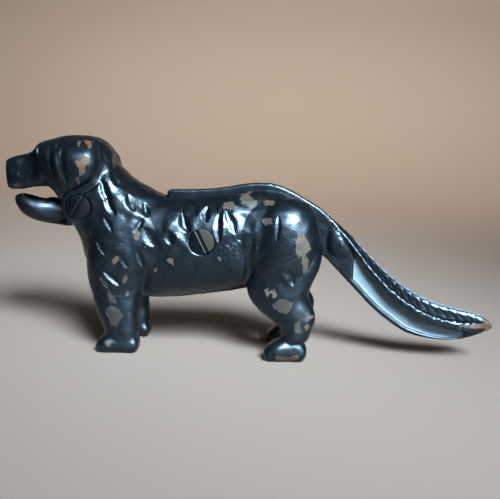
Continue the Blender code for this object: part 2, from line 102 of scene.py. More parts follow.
FORELEG = (
    (19.5, 66, 29.5, 63.5, 47, 44),
    (17.9, 50.4, 30.9, 48.7, 55, 44),
    (17.8, 37, 30, 35.3, 59, 40),
    (18.9, 27.7, 29, 27.7, 62, 35),
    (19.9, 20.6, 28.5, 20.6, 64, 32),
    (20.9, 14.3, 28.5, 14.3, 66, 29),
    (21.9, 8.8, 28.6, 8.8, 66, 28),
    (22.5, 4.2, 28.4, 4.2, 66, 26),
)
FOREPAW = (
    (28.8, 5.5, 28.8, 1.7, 66, 18),
    (27.9, 8, 27.9, -1.5, 66, 24),
    (25, 8.7, 25, -1.5, 67, 27),
    (22.5, 8.2, 22.5, -1.5, 68, 31),
    (21.1, 6.2, 21.1, -1.4, 68, 27),
    (20.3, 3.8, 20.3, 0.4, 68, 18),
)
HINDLEG = (
    (55, 74.6, 58.6, 75.4, 34, 24),
    (52.2, 71, 61.3, 73, 44, 38),
    (50.8, 64.5, 62.9, 68.4, 51, 44),
    (50.2, 53.8, 63.9, 61.3, 56, 44),
    (50, 42.9, 64.6, 52.1, 60, 41),
    (49.9, 33.6, 64.2, 43.7, 63, 36),
    (50.9, 27.3, 62.9, 36.6, 64, 33),
    (52.7, 22.3, 62.1, 30.3, 65, 30),
    (54.6, 19.3, 63.4, 24.8, 66, 27),
    (56.5, 16, 63.9, 20.2, 66, 26),
    (57.1, 13, 63.2, 14.3, 66, 26),
    (57.3, 9.2, 62.6, 9.2, 66, 26),
)
HINDPAW = (
    (62.4, 6.7, 62.4, 2.1, 66, 17),
    (61.3, 9.7, 61.3, -1.5, 66, 23),
    (59.3, 10.8, 59.3, -1.5, 66, 26),
    (57, 10.1, 57, -1.5, 67, 30),
    (55.4, 8.1, 55.4, -1.5, 67, 30),
    (54.4, 6.1, 54.4, -0.9, 67, 26),
    (53.9, 4.4, 53.9, 0.9, 67, 17),
)
JAW = (
    (1.5, 69.4, 1.6, 67.4, 0, 11),
    (2, 70.4, 2.1, 64.4, 0, 20),
    (3.2, 71.3, 3.2, 61.3, 0, 29),
    (4.6, 71.1, 4.6, 59.2, 0, 33),
    (6.4, 70.1, 6.4, 57.8, 0, 33),
    (8.2, 69.7, 8.2, 57.1, 0, 29),
    (9.8, 69.6, 9.8, 56.7, 0, 22),
    (11.3, 67.9, 11.7, 57, 0, 15.8),
    (12.9, 65, 13.3, 57.2, 0, 15.4),
)
BOWL = (
    (2.6, 75, 2.8, 70.2, 0, 9),
    (3.4, 75, 3.6, 68.4, 0, 20),
    (5, 75, 5, 67.2, 0, 25),
    (7, 75, 7, 67, 0, 24),
    (8.4, 75, 8.2, 68.3, 0, 15),
)
TAIL_ROOT = (
    (65.6, 65, 64.9, 51, 0, 11),
    (66.8, 64.6, 65.9, 48, 0, 21),
    (68.2, 61.8, 67.2, 46.4, 0, 23),
    (69.8, 58.4, 68.8, 45.6, 0, 20),
    (71.2, 55.2, 70.4, 45.4, 0, 13),
)

# Outline of the lever in percent of length and height
TAIL_TOP = (
    (32.8, 75.3), (33.6, 76.1), (36.4, 76.3), (39.3, 76.7), (42.5, 77.4), (45.4, 78.6),
    (47.9, 79.9), (50.7, 80.9), (53.5, 81), (55.7, 80), (58.2, 77.6), (61.4, 73.6),
    (63.8, 70.4), (65.9, 66.4), (68, 62.4), (70.1, 58.4), (72.1, 53.6), (74.3, 48.6),
    (76.5, 43.6), (78.6, 39.5), (80.7, 35.8), (82.9, 32.9), (84.9, 30.3), (87, 28.3),
    (89.1, 26.9), (91.1, 25.8), (93.2, 24.8), (95.2, 24.1), (97.3, 22.4), (98.8, 20.2),
    (99.7, 18.2),
)
TAIL_UNDER = (
    (99.5, 17), (97.6, 14.5), (95.6, 12.5), (93.6, 11), (91.6, 10.3), (89.6, 10),
    (87.6, 10.3), (84.7, 11.3), (82.3, 12.8), (79.7, 16.4), (77.1, 20.5), (74.6, 25.5),
    (72, 31.6), (69.4, 37.6), (66.8, 43.7), (64.9, 47.9), (62.9, 50.4), (60, 52.9),
    (55.4, 57.1), (50, 59.7), (44.6, 60.8),
)
ARM_UNDER = ((37.1, 55.5), (35, 50.8), (32.1, 48.7), (29.3, 49.2), (25.7, 51.3), (22.1, 54.6))
JAW_PLATE = ((12.9, 56.1), (11.5, 56.5), (9.8, 57), (9.6, 69), (11.6, 70.4))
ARM_TOP = ((21.4, 68.5), (25, 62.6), (28.6, 58.8), (31.8, 57.6), (32.6, 59.2), (33, 63),
           (33.1, 67.5), (33, 71.4))

# Half width of the tail feather and its droop, as shares, at points along it
FEATHER = (
    (64.5, 0.28, 0.5), (68, 0.55, 1.6), (72, 0.8, 4.6), (77, 0.95, 5.9), (84, 1, 6.6),
    (90, 1, 6.3), (94, 0.86, 5.4), (97, 0.62, 3.4), (99.2, 0.3, 1.2),
)

# How strongly the paint reflects, on the castings and on the screws
PAINT_GLINT = 0.44
SCREW_GLINT = 0.2

# Where the lights stand and what they aim at, in metres, and the angle in
# degrees over which each one spreads.
WINDOW_AT = (0.33, -0.7, 0.66)
LAMP_AT = (0.55, -0.55, 0.17)
BACKLIGHT_AT = (0, 0.35, 1.3)
BACKDROP_AT = (0, 1.4, 0.1)
DOG_AT = (0, 0, 0.06)
WINDOW_SPREAD = 36
LAMP_SPREAD = 50
BACKLIGHT_SPREAD = 90

# Room for the lever between the shells, in percent of length and height
SLOT_UNDER = ((6.4, 51.7), (15.4, 51.7), (18.2, 53.4), (21.8, 50.8), (26.1, 46.2), (30, 44.5),
              (33.6, 45.4), (57.5, 49.2), (61, 46.4), (72.1, 46.2), (72.1, 109.2), (32.5, 109.2),
              (32.5, 72.3), (29.3, 72.3), (25, 73.1), (21.1, 76.5))

# Broad round forms: middle, half length and half height in percent, and how
# far the middle rises and the rim falls in millimetres.
DOMES = (
    (56.2, 57, 7.6, 20, 0.4, 1.2),
    (24.5, 50, 8, 22, 0.4, 1),
    (17.2, 89, 4.6, 13, 0.6, 0.5),
    (33.4, 59, 4.5, 13, 0.7, 0.3),
)

# Places where the paint has dried in drops: middle in percent, and reach in metres
RUNS = ((47.4, 51.5, 0.006), (52.2, 52, 0.004))

# Bare patches of the far side, which the photograph doesn't show
# Outline, brownness and lightness as for the near side; a low lightness mixes in the grime colour as
# painted shade.
FAR_CHIPS = (
    ((57.5, 62, 59, 64.5, 60.4, 62.5, 60.1, 58, 58.8, 55.5, 57.7, 58.5), 0.3, 0.8),
    ((44, 74, 46, 75.2, 47.8, 73.6, 46.6, 71, 44.6, 71.2), 0.3, 0.6),
    ((26, 60, 27.2, 61.5, 28, 59, 27, 56.4, 26.1, 57.8), 0.2, 0.8),
    ((16.4, 90, 17.8, 92.4, 18.4, 88.6, 17.2, 84.5, 16.5, 86.6), 0.9, 0.9),
    ((22.6, 22, 24.4, 23.5, 25.4, 19, 24.2, 15, 22.9, 17.6), 0.5, 0.2),
    ((56, 27, 57.8, 29, 58.6, 26, 57, 23.4), 0.2, 0.4),
    ((37.4, 44.5, 38.2, 45.6, 38.7, 43.8, 37.8, 43), 0.2, 0.8),
    ((55.6, 4.6, 57.4, 5.4, 58.2, 3.2, 56.2, 2.4), 0.6, 0.4),
)

# Carved marks of the near side. Each has its points in percent of length and
# height, one after the other, its width in percent of the length and its depth
# in millimetres, which is below zero for a raised lock.
NEAR_MARKS = (
    ((10.1, 95.9, 10.4, 90.5, 10.8, 84.7, 11.7, 79.3), 1.45, 0.42),
    ((11.2, 97.3, 11.7, 91.2, 12.4, 85, 13.3, 77.7), 1.45, -0.59),
    ((13.2, 96.8, 13.3, 91, 13.8, 84.3, 14.4, 77.5), 2.03, 0.77),
    ((20.4, 93.6, 21.1, 89.2, 21, 84.7, 20.4, 80.2, 18.9, 76, 16.2, 72.4), 2.03, 0.85),
    ((6.7, 90.8, 6.6, 84.9, 6.5, 75.4), 4.34, 0.68),
    ((20.9, 89.2, 21.6, 82.9, 23.1, 77.2, 24.9, 72, 27.3, 67.2, 30, 63.5), 4.92, -1.02),
    ((20.8, 80.2, 21.7, 74.9, 22.9, 70.1), 2.32, 1.19),
    ((21.7, 72.3, 22.8, 68.4, 24, 64.8), 2.03, 1.02),
    ((21.8, 63.6, 22.7, 60.6, 23.7, 57.1), 1.45, 0.77),
    ((22.5, 84.2, 23.1, 81, 24, 77.5), 2.03, 0.94),
    ((26.1, 74.1, 26.7, 70.2, 27.7, 66.8), 2.32, 1.02),
    ((29.2, 70.8, 29.8, 67.9, 30.5, 64.9), 1.74, 0.94),
    ((29.3, 63.6, 28.8, 60.9, 27.8, 57.5), 1.74, 0.85),
    ((29.6, 59.6, 30.7, 55.8, 31.9, 51.4), 3.76, 1.19),
    ((36.2, 68.5, 35.5, 63.3, 34, 57.9), 4.92, -0.85),
    ((36.8, 66.8, 37.4, 62.1, 38.7, 58.7), 2.61, 1.27),
    ((34.5, 58.8, 34.7, 55.6, 35.3, 52.4), 2.61, 1.1),
    ((36, 57.5, 36.9, 54.1, 38.3, 51), 2.9, -0.68),
    ((41.8, 70, 41.5, 66.9, 41.7, 63.5), 2.32, 0.94),
    ((38.1, 72.2, 39.1, 69.1, 39.8, 65.8), 1.45, 0.51),
    ((42.2, 73.9, 43.1, 71.3, 43.7, 68.4), 1.74, 0.68),
    ((45, 70, 45.1, 63.1, 45.1, 54), 1.45, -0.42),
    ((45.5, 68.4, 46.6, 64.1, 47.5, 58.8), 2.32, 0.77),
    ((44.1, 67.2, 44.1, 61.1, 44.4, 54.8), 2.03, 0.68),
    ((48.2, 67.7, 49.7, 64.4, 50.7, 60), 4.05, 0.42),
    ((20.5, 52.4, 21.4, 49.4, 22.5, 46), 1.45, 0.77),
    ((22, 38.9, 23.6, 36, 25.4, 32.2), 1.88, 1.1),
    ((25.5, 45.9, 26.1, 43.6, 26.7, 40.8), 1.45, 0.51),
    ((28.5, 49.3, 29.1, 45.7, 29.7, 41.5), 1.74, 0.77),
    ((30.7, 41.1, 30.2, 35.1, 29.6, 29), 1.74, 0.77),
    ((31.9, 54.1, 32.6, 51.6), 1.16, 0.51),
    ((50.9, 58.2, 50.5, 48.8, 50.1, 34.1), 2.61, 1.61),
    ((55.7, 67.9, 55.8, 62.6, 55.6, 56.8), 1.3, 0.68),
    ((52.9, 48.5, 53.9, 47.3, 55, 47.6), 1.45, -0.42),
    ((56.7, 41.8, 57.5, 39.5, 58.4, 36.3), 2.03, -0.51),
    ((58, 43.8, 58.9, 40.1, 59.3, 35.9), 1.74, 0.59),
    ((56.2, 45.4, 58.3, 48, 60.6, 50.9), 0.52, 0.26),
    ((55.6, 47.2, 57.9, 50.2, 60.1, 52.7), 0.46, 0.21),
    ((53.3, 13.9, 55.3, 16.1, 57.1, 18.9), 1.16, 0.34),
    ((21.3, 5.5, 22.3, 2.3), 0.75, 0.26),
    ((55.2, 5.9, 55.7, 1.9), 0.75, 0.26),
)

# Bare patches of the near side: outline in percent of length and height, how
# brown the metal is and how light; low lightness mixes in the grime colour as painted shade, most on
# the legs and back.
NEAR_CHIPS = (
    ((16.6, 98.4, 16.5, 99.2, 18.4, 98.1, 18.9, 95.1, 18.4, 94.4, 17.9, 95.9, 17.3, 96.8), 1, 1),
    ((15.7, 97.5, 16.4, 97.8, 16.7, 96.3, 16.3, 95.1, 15.8, 96.2), 0.9, 1),
    ((16.2, 88.6, 17.1, 89.8, 17.7, 91.9, 18.5, 90.6, 18.8, 88.4, 18.3, 86.1, 17.9, 83.4, 17.4,
      81.8, 17, 83.8, 16.8, 85.8), 1, 1),
    ((16.5, 81, 17, 81.3, 17, 78.3, 16.6, 77.7), 0.7, 0.5),
    ((2.3, 75.6, 3.4, 76.2, 4.3, 75.4, 4.5, 74.2, 2.7, 73.8), 0.9, 0.7),
    ((27.8, 58, 28.5, 59, 29.2, 56.7, 28.9, 54, 28, 53.2, 27.8, 55.7), 0.15, 0.8),
    ((23.9, 45.7, 24.5, 46.5, 25.1, 46.1, 25, 44, 24.4, 42.7, 23.9, 43.8), 0.6, 0.7),
    ((25.7, 34.6, 26, 36.5, 26.6, 37.5, 26.9, 36.1, 26.4, 33.7, 25.7, 33.2), 0.4, 0.5),
    ((26.4, 29.4, 27, 30.4, 27.2, 29.1, 27, 27.5, 26.5, 27.5), 0.4, 0.5),
    ((21, 35.9, 21.6, 36.1, 22.2, 34.3, 23, 32, 22.7, 30.5, 22.1, 31.3, 21.6, 34.1), 0.6, 0.2),
    ((22.8, 30, 23.4, 29.7, 23.8, 27.3, 24.6, 25.5, 24.8, 23.6, 23.6, 24, 23, 26.7), 0.6, 0.15),
    ((22.4, 21.3, 23.4, 22.5, 24.6, 22.2, 25.8, 20.3, 26, 18.4, 25.4, 15.1, 24.8, 13.1, 23.8, 13.4,
      23.2, 16.7, 22.6, 18.9), 0.7, 0.12),
    ((22.5, 5.6, 23, 6.6, 23.9, 5.5, 23.4, 3.1, 22.6, 3.4), 0.9, 0.6),
    ((34.4, 45.4, 35, 46.4, 35.6, 46, 35.6, 43.6, 34.8, 43.8), 0.3, 1),
    ((31.4, 32.9, 31.6, 32.7, 31.7, 30.7, 32, 29.9, 31.5, 30.1), 0, 1),
    ((44.7, 71.5, 45.2, 72.8, 45.6, 72, 46.2, 73.1, 46.8, 72.2, 47.7, 70.6, 47.2, 68.9, 46, 69.6,
      45, 69.6), 0.2, 0.6),
    ((48.2, 72.4, 47.9, 74.8, 48.7, 76.8, 49.7, 76.6, 50, 75.1, 50.5, 74.3, 51.3, 73.6, 51, 70.2,
      50.1, 69.7, 49.2, 71.7), 0.3, 0.6),
    ((46.6, 76.9, 48.2, 77.7, 49.6, 77.5, 50.9, 78.5, 50.1, 76.7, 48.6, 75.7, 47.2, 75.4), 0.9, 1),
    ((52.1, 73.5, 53.2, 74.2, 54.8, 73.6, 54.5, 72.1, 53.1, 72.1), 0.5, 0.5),
    ((52.5, 65.6, 53.3, 66.8, 54.3, 66.4, 54.5, 64.7, 53.4, 63.3, 52.8, 64.1), 0.2, 0.6),
    ((59.2, 58.5, 59.8, 60.8, 60.6, 61.5, 61.1, 59, 61.8, 56.4, 62.3, 53.6, 61.6, 51.8, 61.1, 50,
      60, 49.7, 59.3, 51.7, 59.5, 54.9), 0.25, 1),
    ((60.3, 50.4, 61.5, 51.4, 61.9, 48.6, 61.7, 43.9, 61.1, 41.9, 60.7, 44.9, 60.7, 48.2), 0.3, 1),
    ((53.7, 33.8, 54.3, 34.6, 54.6, 33, 54.4, 30.8, 53.9, 31.2), 0.1, 1),
    ((54.9, 33.6, 55.7, 34.1, 56.1, 31.8, 55.6, 29.4, 55.1, 30.7), 0.1, 1),
    ((55.4, 27.4, 56.5, 29.5, 57.9, 30.2, 59.1, 28.3, 59, 25, 58, 22.5, 56.6, 24.3, 55.6, 25.6),
      0.2, 0.35),
    ((62, 20.9, 62.5, 22.3, 63.5, 22.3, 63, 20.6, 62.2, 19.5), 0.2, 1),
    ((61.7, 18.1, 62.4, 18.5, 62.8, 16.5, 62.2, 15.2), 0.3, 1),
    ((59.7, 18.4, 60.6, 19.5, 61.3, 17.2, 60.9, 13.9, 60.1, 14.7), 0.2, 0.45),
    ((56.5, 3.1, 58.8, 2.6, 61, 3.6, 60.8, 1.3, 58.7, 0.3, 56.7, 1), 0.7, 0.5),
    ((31.9, 40.8, 32.4, 40.9, 32.3, 39.4, 31.9, 39.3), 0.2, 1),
    ((30, 51.3, 30.3, 51.4, 30.3, 50.5, 30, 50.4), 0.1, 1),
    ((44.4, 47.9, 44.9, 47.9, 45, 46.1, 44.6, 45.8), 0, 1),
    ((47.5, 82.1, 48.3, 82.4, 48.3, 81.2, 47.7, 81.2), 0.4, 1),
    ((17, 35.1, 18.3, 37.1, 18.5, 34.3, 17.3, 32.2), 0.5, 0.4),
)


def metres(name, description, default, precision=4):
    return bpy.props.FloatProperty(name=name, description=description, default=default,
                                   unit="LENGTH", precision=precision)


def tint(name, description, default):
    return bpy.props.FloatVectorProperty(name=name, description=description, default=default,
                                         subtype="COLOR", size=3, min=0, max=1)


def watts(name, description, default):
    return bpy.props.FloatProperty(name=name, description=description, default=default,
                                   unit="POWER", min=0)


class ShellSettings(bpy.types.PropertyGroup):
    """Sizes of the two cast shells"""

    length: metres("Length", "From the muzzle to the tip of the tail", 0.280)
    height: metres("Height", "From the soles to the top of the head", 0.119)
    width: metres("Width", "Across both shells at the shoulder", 0.055)
    wall: metres("Wall", "Thickness of the casting round the hollow", 0.0045)
    seam_gap: metres("Seam gap", "Open line between the two shells", 0.0003)
    cell: metres("Surface cell", "Spacing of the points that carry the carving", 0.0006, 5)
    far_carving: bpy.props.FloatProperty(
        name="Far side carving", description="Depth of the fur on the far side against the near one",
        default=0.7, subtype="FACTOR", min=0, max=1)


class LeverSettings(bpy.types.PropertyGroup):
    """Sizes of the lever with jaw and tail"""

    thickness: metres("Thickness", "Thickness of the lever's plate", 0.008)
    side_play: metres("Side play", "Room between the lever and each shell", 0.0005)
    eye_radius: metres("Eye radius", "Radius of the plate round the neck screw", 0.0125)
    tail_half_width: metres("Tail half width", "From the middle of the tail to its edge", 0.0108)
    rib_relief: metres("Rib relief", "Height of the ribs of the tail's hair", 0.0005)
    rib_spacing: metres("Rib spacing", "Distance from one rib of the tail to the next", 0.0054)
    boss_radius: metres("Boss radius", "Radius of the boss that the lever rests on", 0.0063)
    edge_round: metres("Edge round", "Rounding of the plate's edges", 0.0009)
    feather_edge: metres("Feather edge", "Thickness of the tail's feather at its edge", 0.0034)
    feather_crown: metres("Feather crown", "How much thicker the feather is in the middle", 0.0022)
    panel_depth: metres("Panel depth", "How far the web of the tail is sunk on each side", 0.0013)
    cell: metres("Surface cell", "Spacing of the points that carry the ribs", 0.0006, 5)


class ScrewSettings(bpy.types.PropertyGroup):
    """Sizes of the two slotted screws"""

    head_radius: metres("Head radius", "Radius of the screw heads", 0.0068)
    head_height: metres("Head height", "Height of the screw heads", 0.0034)
    head_play: metres("Head play", "Gap round a head in its seat", 0.0004)
    shank_radius: metres("Shank radius", "Radius of the screws' shanks", 0.0032)
    hole_play: metres("Hole play", "Gap round a shank in its hole", 0.0004)
    slot_width: metres("Slot width", "Width of the slot for the screwdriver", 0.0019)
    slot_depth: metres("Slot depth", "Depth of the slot for the screwdriver", 0.0014)


class PaintSettings(bpy.types.PropertyGroup):
    """Colours of the paint and of the metal under it"""

    paint: tint("Paint", "Black paint with a blue cast", (0.0005, 0.0009, 0.0014))
    worn_paint: tint("Worn paint", "Paint that handling has rubbed dull", (0.0012, 0.0018, 0.0025))
    # Painted light: dull paint made many times lighter than the black, standing in for the light that
    # the lever's sunk web and throat plate catch.
    lit_matte_paint: tint("Matte paint", "Greyed paint in the sunk parts of the lever",
                      (0.07, 0.095, 0.112))
    bare_metal: tint("Bare metal", "Dull iron where the paint has gone", (0.036, 0.029, 0.02))
    rust: tint("Rust", "Brown iron where it has rusted", (0.05, 0.021, 0.005))
    # Dark dirt on the bare iron; it also darkens chips of low lightness as painted shade.
    grime_and_shade: tint("Grime", "Dark dirt on the bare iron", (0.007, 0.0065, 0.004))
    # Painted highlight: a light line along one edge of a screw's slot, where the slot's wall catches
    # the light, coloured as rubbed bright metal.
    rubbed_edge_and_highlight: tint("Bright edge", "Metal that the screwdriver has rubbed bright",
                      (0.16, 0.16, 0.15))
    sheen: tint("Sheen", "Tint of what the paint reflects", (0.6, 0.82, 0.98))


class StageSettings(bpy.types.PropertyGroup):
    """Floor, light and camera"""

    floor: tint("Floor", "Colour of the floor", (0.1, 0.077, 0.061))
    room_radius: metres("Room radius", "From the middle of the floor to the wall round it", 1.3, 2)
    key_power: watts("Key light", "Power of the window light", 9.0)
    fill_power: watts("Fill light", "Power of the low light from the right", 0.4)
    back_power: watts("Backdrop light", "Power of the light on the backdrop", 27.0)
    sky: bpy.props.FloatProperty(
        name="Room light", description="Strength of the light from all round",
        default=0.06, min=0)
    distance: metres("Camera distance", "From the camera to the middle of the dog", 0.480, 3)


def settings(kind):
    return getattr(bpy.context.scene, "nutcracker_" + kind)


def along(share):
    return (share / 100 - 0.5) * settings("shell").length


def length_share(x):
    return (x / settings("shell").length + 0.5) * 100


def upward(share):
    return share / 100 * settings("shell").height


def outward(share):
    return share / 200 * settings("shell").width


def spots(shares):
    return [(along(u), upward(v)) for u, v in shares]


def deselect():
    for other in list(bpy.context.selected_objects):
        other.select_set(False)


def only(*objects):
    """Selects these objects alone, the first as the active one."""
    deselect()
    for chosen in objects:
        chosen.select_set(True)
    bpy.context.view_layer.objects.active = objects[0]


def finish_edit(made):
    bpy.ops.mesh.select_all(action="SELECT")
    bpy.ops.mesh.normals_make_consistent(inside=False)
    bpy.ops.object.mode_set(mode="OBJECT")
    return made


def loft(name, rings):
    """A closed body through rings of points: a disc that is extruded ring by ring."""
    deselect()
    bpy.ops.mesh.primitive_circle_add(vertices=len(rings[0]), fill_type="NGON")
    made = bpy.context.object
    made.name = name
    bpy.ops.object.mode_set(mode="EDIT")
    mesh = bmesh.from_edit_mesh(made.data)
    mesh.verts.ensure_lookup_table()
    places = {}
    for vertex, point in zip(mesh.verts, rings[0]):
        vertex.co = point
        places[tuple(vertex.co)] = vertex.index
    bmesh.update_edit_mesh(made.data)
    for ring in rings[1:]:
        bpy.ops.mesh.extrude_region_move()
        mesh = bmesh.from_edit_mesh(made.data)
        moved = {}
        for vertex in mesh.verts:
            if vertex.select:
                number = places[tuple(vertex.co)]
                vertex.co = ring[number]
                moved[tuple(vertex.co)] = number
        places = moved
        bmesh.update_edit_mesh(made.data)
    return finish_edit(made)


def smooth_rows(rows, steps):
    """More rows between the given ones, on a curve through all of them."""
    rows = [np.array(row, float) for row in rows]
    ends = [2 * rows[0] - rows[1], *rows, 2 * rows[-1] - rows[-2]]
    made = []
    for i in range(1, len(ends) - 2):
        a, b, c, d = ends[i - 1:i + 3]
        for step in range(steps):
            t = step / steps
            curve = 2 * b + (c - a) * t + (2 * a - 5 * b + 4 * c - d) * t ** 2
            made.append((curve + (3 * b - a - 3 * c + d) * t ** 3) / 2)
    made.append(rows[-1])
    return made


def section(row, corners, squareness, inset=0.0):
    """One closed ring of points round a cross-section of a form."""
    edge_a = Vector((along(row[0]), 0, upward(row[1])))
    edge_b = Vector((along(row[2]), 0, upward(row[3])))
    middle = (edge_a + edge_b) / 2
    reach = (edge_a - edge_b) / 2
    reach *= max(1 - inset / max(reach.length, 1e-6), 0.2)
    offset = -outward(row[4])
    half = max(outward(row[5]) - inset, outward(3))
    ring = []
    for i in range(corners):
        turn = 2 * math.pi * i / corners
        c = math.copysign(abs(math.cos(turn)) ** (2 / squareness), math.cos(turn))
        s = math.copysign(abs(math.sin(turn)) ** (2 / squareness), math.sin(turn))
        point = middle + reach * c
        ring.append((point.x, offset + half * s, point.z))
    return ring


def form(name, rows, steps=4, corners=40, squareness=2.3):
    return loft(name, [section(row, corners, squareness) for row in smooth_rows(rows, steps)])


def plate(name, outline, half):
    """A flat plate with the given outline in the middle plane."""
    return loft(name, [[(x, y, z) for x, z in outline] for y in (-half, half)])


def rod(name, axis, radius, y_low, y_high, corners=64):
    """A round bar across the dog, its middle line through the given shares."""
    deselect()
    bpy.ops.mesh.primitive_cylinder_add(
        vertices=corners, radius=radius, depth=y_high - y_low,
        location=(along(axis[0]), (y_low + y_high) / 2, upward(axis[1])),
        rotation=(math.pi / 2, 0, 0))
    bpy.ops.object.transform_apply(location=True, rotation=True, scale=True)
    made = bpy.context.object
    made.name = name
    return made


def joined(name, parts):
    only(*parts)
    bpy.ops.object.join()
    made = bpy.context.object
    made.name = name
    return made


def modified(made, kind, **values):
    """One modifier, applied."""
    only(made)
    step = made.modifiers.new(kind.lower(), kind)
    for key, value in values.items():
        setattr(step, key, value)
    bpy.ops.object.modifier_apply(modifier=step.name)
    return made


def combined(target, tool, operation):
    """A boolean, after which the tool is gone."""
    modified(target, "BOOLEAN", operation=operation, solver="MANIFOLD", object=tool)
    mesh = tool.data
    bpy.data.objects.remove(tool)
    bpy.data.meshes.remove(mesh)
    return target


def trim(made, point, away):
    """Cuts off what lies beyond a plane and closes the cut."""
    only(made)
    bpy.ops.object.mode_set(mode="EDIT")
    bpy.ops.mesh.select_all(action="SELECT")
    bpy.ops.mesh.bisect(plane_co=point, plane_no=away, use_fill=True, clear_outer=True)
    return finish_edit(made)


def points_of(made):
    points = np.empty(len(made.data.vertices) * 3)
    made.data.vertices.foreach_get("co", points)
    return points.reshape(-1, 3)


def normals_of(made):
    normals = np.empty(len(made.data.vertices) * 3)
    made.data.vertex_normals.foreach_get("vector", normals)
    return normals.reshape(-1, 3)


def put_points(made, points):
    made.data.vertices.foreach_set("co", points.ravel())
    made.data.update()


def waves(points, longest, shortest, count, seed):
    """Smooth random lumps between -1 and 1 at each point."""
    draws = np.random.default_rng(seed)
    total = np.zeros(len(points))
    for _ in range(count):
        direction = draws.normal(size=3)
        direction /= np.linalg.norm(direction)
        span = longest * (shortest / longest) ** draws.random()
        total += np.sin(points @ direction * 2 * math.pi / span + draws.random() * 2 * math.pi)
    return total / math.sqrt(count)


def domes(points, normals, side):
    """Rounds off the broad forms: a little more in the middle, less round the rim."""
    facing = np.clip(side * normals[:, 1] * 1.4 + 0.2, 0, 1)
    relief = np.zeros(len(points))
    for u, v, wide, tall, rise, fall in DOMES:
        r = np.hypot((points[:, 0] - along(u)) / along(50 + wide), (points[:, 2] - upward(v))
                     / upward(tall))
        shape = rise - (rise + fall) * np.clip(r, 0, 1) ** 2
        relief += facing * shape * np.clip((1.35 - r) / 0.35, 0, 1) / 1000
    return relief


def flank_of(normals, side):
    """How squarely a surface faces out of the near (-1) or far (1) side."""
    return np.clip((side * normals[:, 1] - 0.22) * 2.4, 0, 1)


def stroke(points, line, width):
    """Distance of each point from one stroke, in its own half widths, and the run along it."""
    line = [np.array(point) for point in spots(zip(line[::2], line[1::2]))]
    place = points[:, (0, 2)]
    best = np.full(len(points), 1e9)
    run = np.zeros(len(points))
    lengths = [np.linalg.norm(b - a) for a, b in zip(line, line[1:])]
    before = 0.0
    for a, b, length in zip(line, line[1:], lengths):
        t = np.clip((place - a) @ (b - a) / length ** 2, 0, 1)
        gap = place - (a + t[:, None] * (b - a))
        away = np.hypot(gap[:, 0], gap[:, 1])
        nearer = away < best
        best = np.where(nearer, away, best)
        run = np.where(nearer, (before + t * length) / sum(lengths), run)
        before += length
    half = width / 200 * settings("shell").length
    return best / half, run


def carved(points, normals, marks, side, strength):
    """How far each point moves along its normal for the carved marks."""
    facing = flank_of(normals, side)
    relief = np.zeros(len(points))
    for line, width, depth in marks:
        away, run = stroke(points, line, width)
        leaf = np.sin(np.clip(run, 0.001, 0.999) * math.pi) ** 0.6
        away = away / np.maximum(leaf, 0.2)
        dip = (1 + np.cos(np.clip(away, 0, 1) * math.pi)) / 2
        relief -= facing * leaf ** 0.5 * dip * depth / 1000 * strength
    return relief


def inside(points, outline):
    """Distance of each point within an outline in metres, below zero outside it."""
    ring = np.array(spots(zip(outline[::2], outline[1::2])))
    place = points[:, (0, 2)]
    best = np.full(len(points), 1e9)
    within = np.zeros(len(points), bool)
    for a, b in zip(ring, np.roll(ring, -1, axis=0)):
        t = np.clip((place - a) @ (b - a) / ((b - a) @ (b - a)), 0, 1)
        best = np.minimum(best, np.linalg.norm(place - a - t[:, None] * (b - a), axis=1))
        spans = (a[1] > place[:, 1]) != (b[1] > place[:, 1])
        rise = b[1] - a[1] if b[1] != a[1] else 1e-9
        within ^= spans & (place[:, 0] < (b[0] - a[0]) * (place[:, 1] - a[1]) / rise + a[0])
    return np.where(within, best, -best)


def chip_mask(points, normals, chips, side):
    """How bare, how brown and how light each point of a flank is; low lightness later darkens a chip
    as painted shade.
    """
    facing = flank_of(normals, side)
    warp = waves(points, 0.005, 0.0014, 30, 7) * 0.28
    bare = np.zeros(len(points))
    brown = np.zeros(len(points))
    shade = np.ones(len(points))
    for outline, tint, light_share in chips:
        depth = inside(points, outline) / 0.0014
        held = np.clip(0.5 + depth + warp, 0, 1) * np.clip(facing * 3 + 0.3, 0, 1)
        brown = np.where(held > bare, tint, brown)
        shade = np.where(held > bare, light_share, shade)
        bare = np.maximum(bare, held)
    return bare, brown, shade


def store(made, name, values):
    """A value for every point of the mesh, which the paint reads."""
    attribute = made.data.attributes.new(name, "FLOAT", "POINT")
    attribute.data.foreach_set("value", np.asarray(values, np.float32))


def convexity(made):
    """Positive on ridges and rims, negative in grooves."""
    points = points_of(made)
    edges = np.empty(len(made.data.edges) * 2, np.int64)
    made.data.edges.foreach_get("vertices", edges)
    edges = edges.reshape(-1, 2)
    flow = normals_of(made)
    field = points
    for _ in range(3):
        total = np.zeros_like(points)
        count = np.zeros(len(points))
        for a, b in ((0, 1), (1, 0)):
            np.add.at(total, edges[:, a], field[edges[:, b]])
            np.add.at(count, edges[:, a], 1)
        field = total / np.maximum(count, 1)[:, None]
    return np.einsum("ij,ij->i", points - field, flow)


def kept_in(made, node):
    """Keeps every point inside the box of the solid that the piece stands for."""
    low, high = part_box(node)
    put_points(made, np.clip(points_of(made), np.array(low), np.array(high)))


def socket(group, name, kind, way, value=None):
    made = group.interface.new_socket(name=name, in_out=way, socket_type="NodeSocket" + kind)
    if value is not None:
        made.default_value = value
    return made


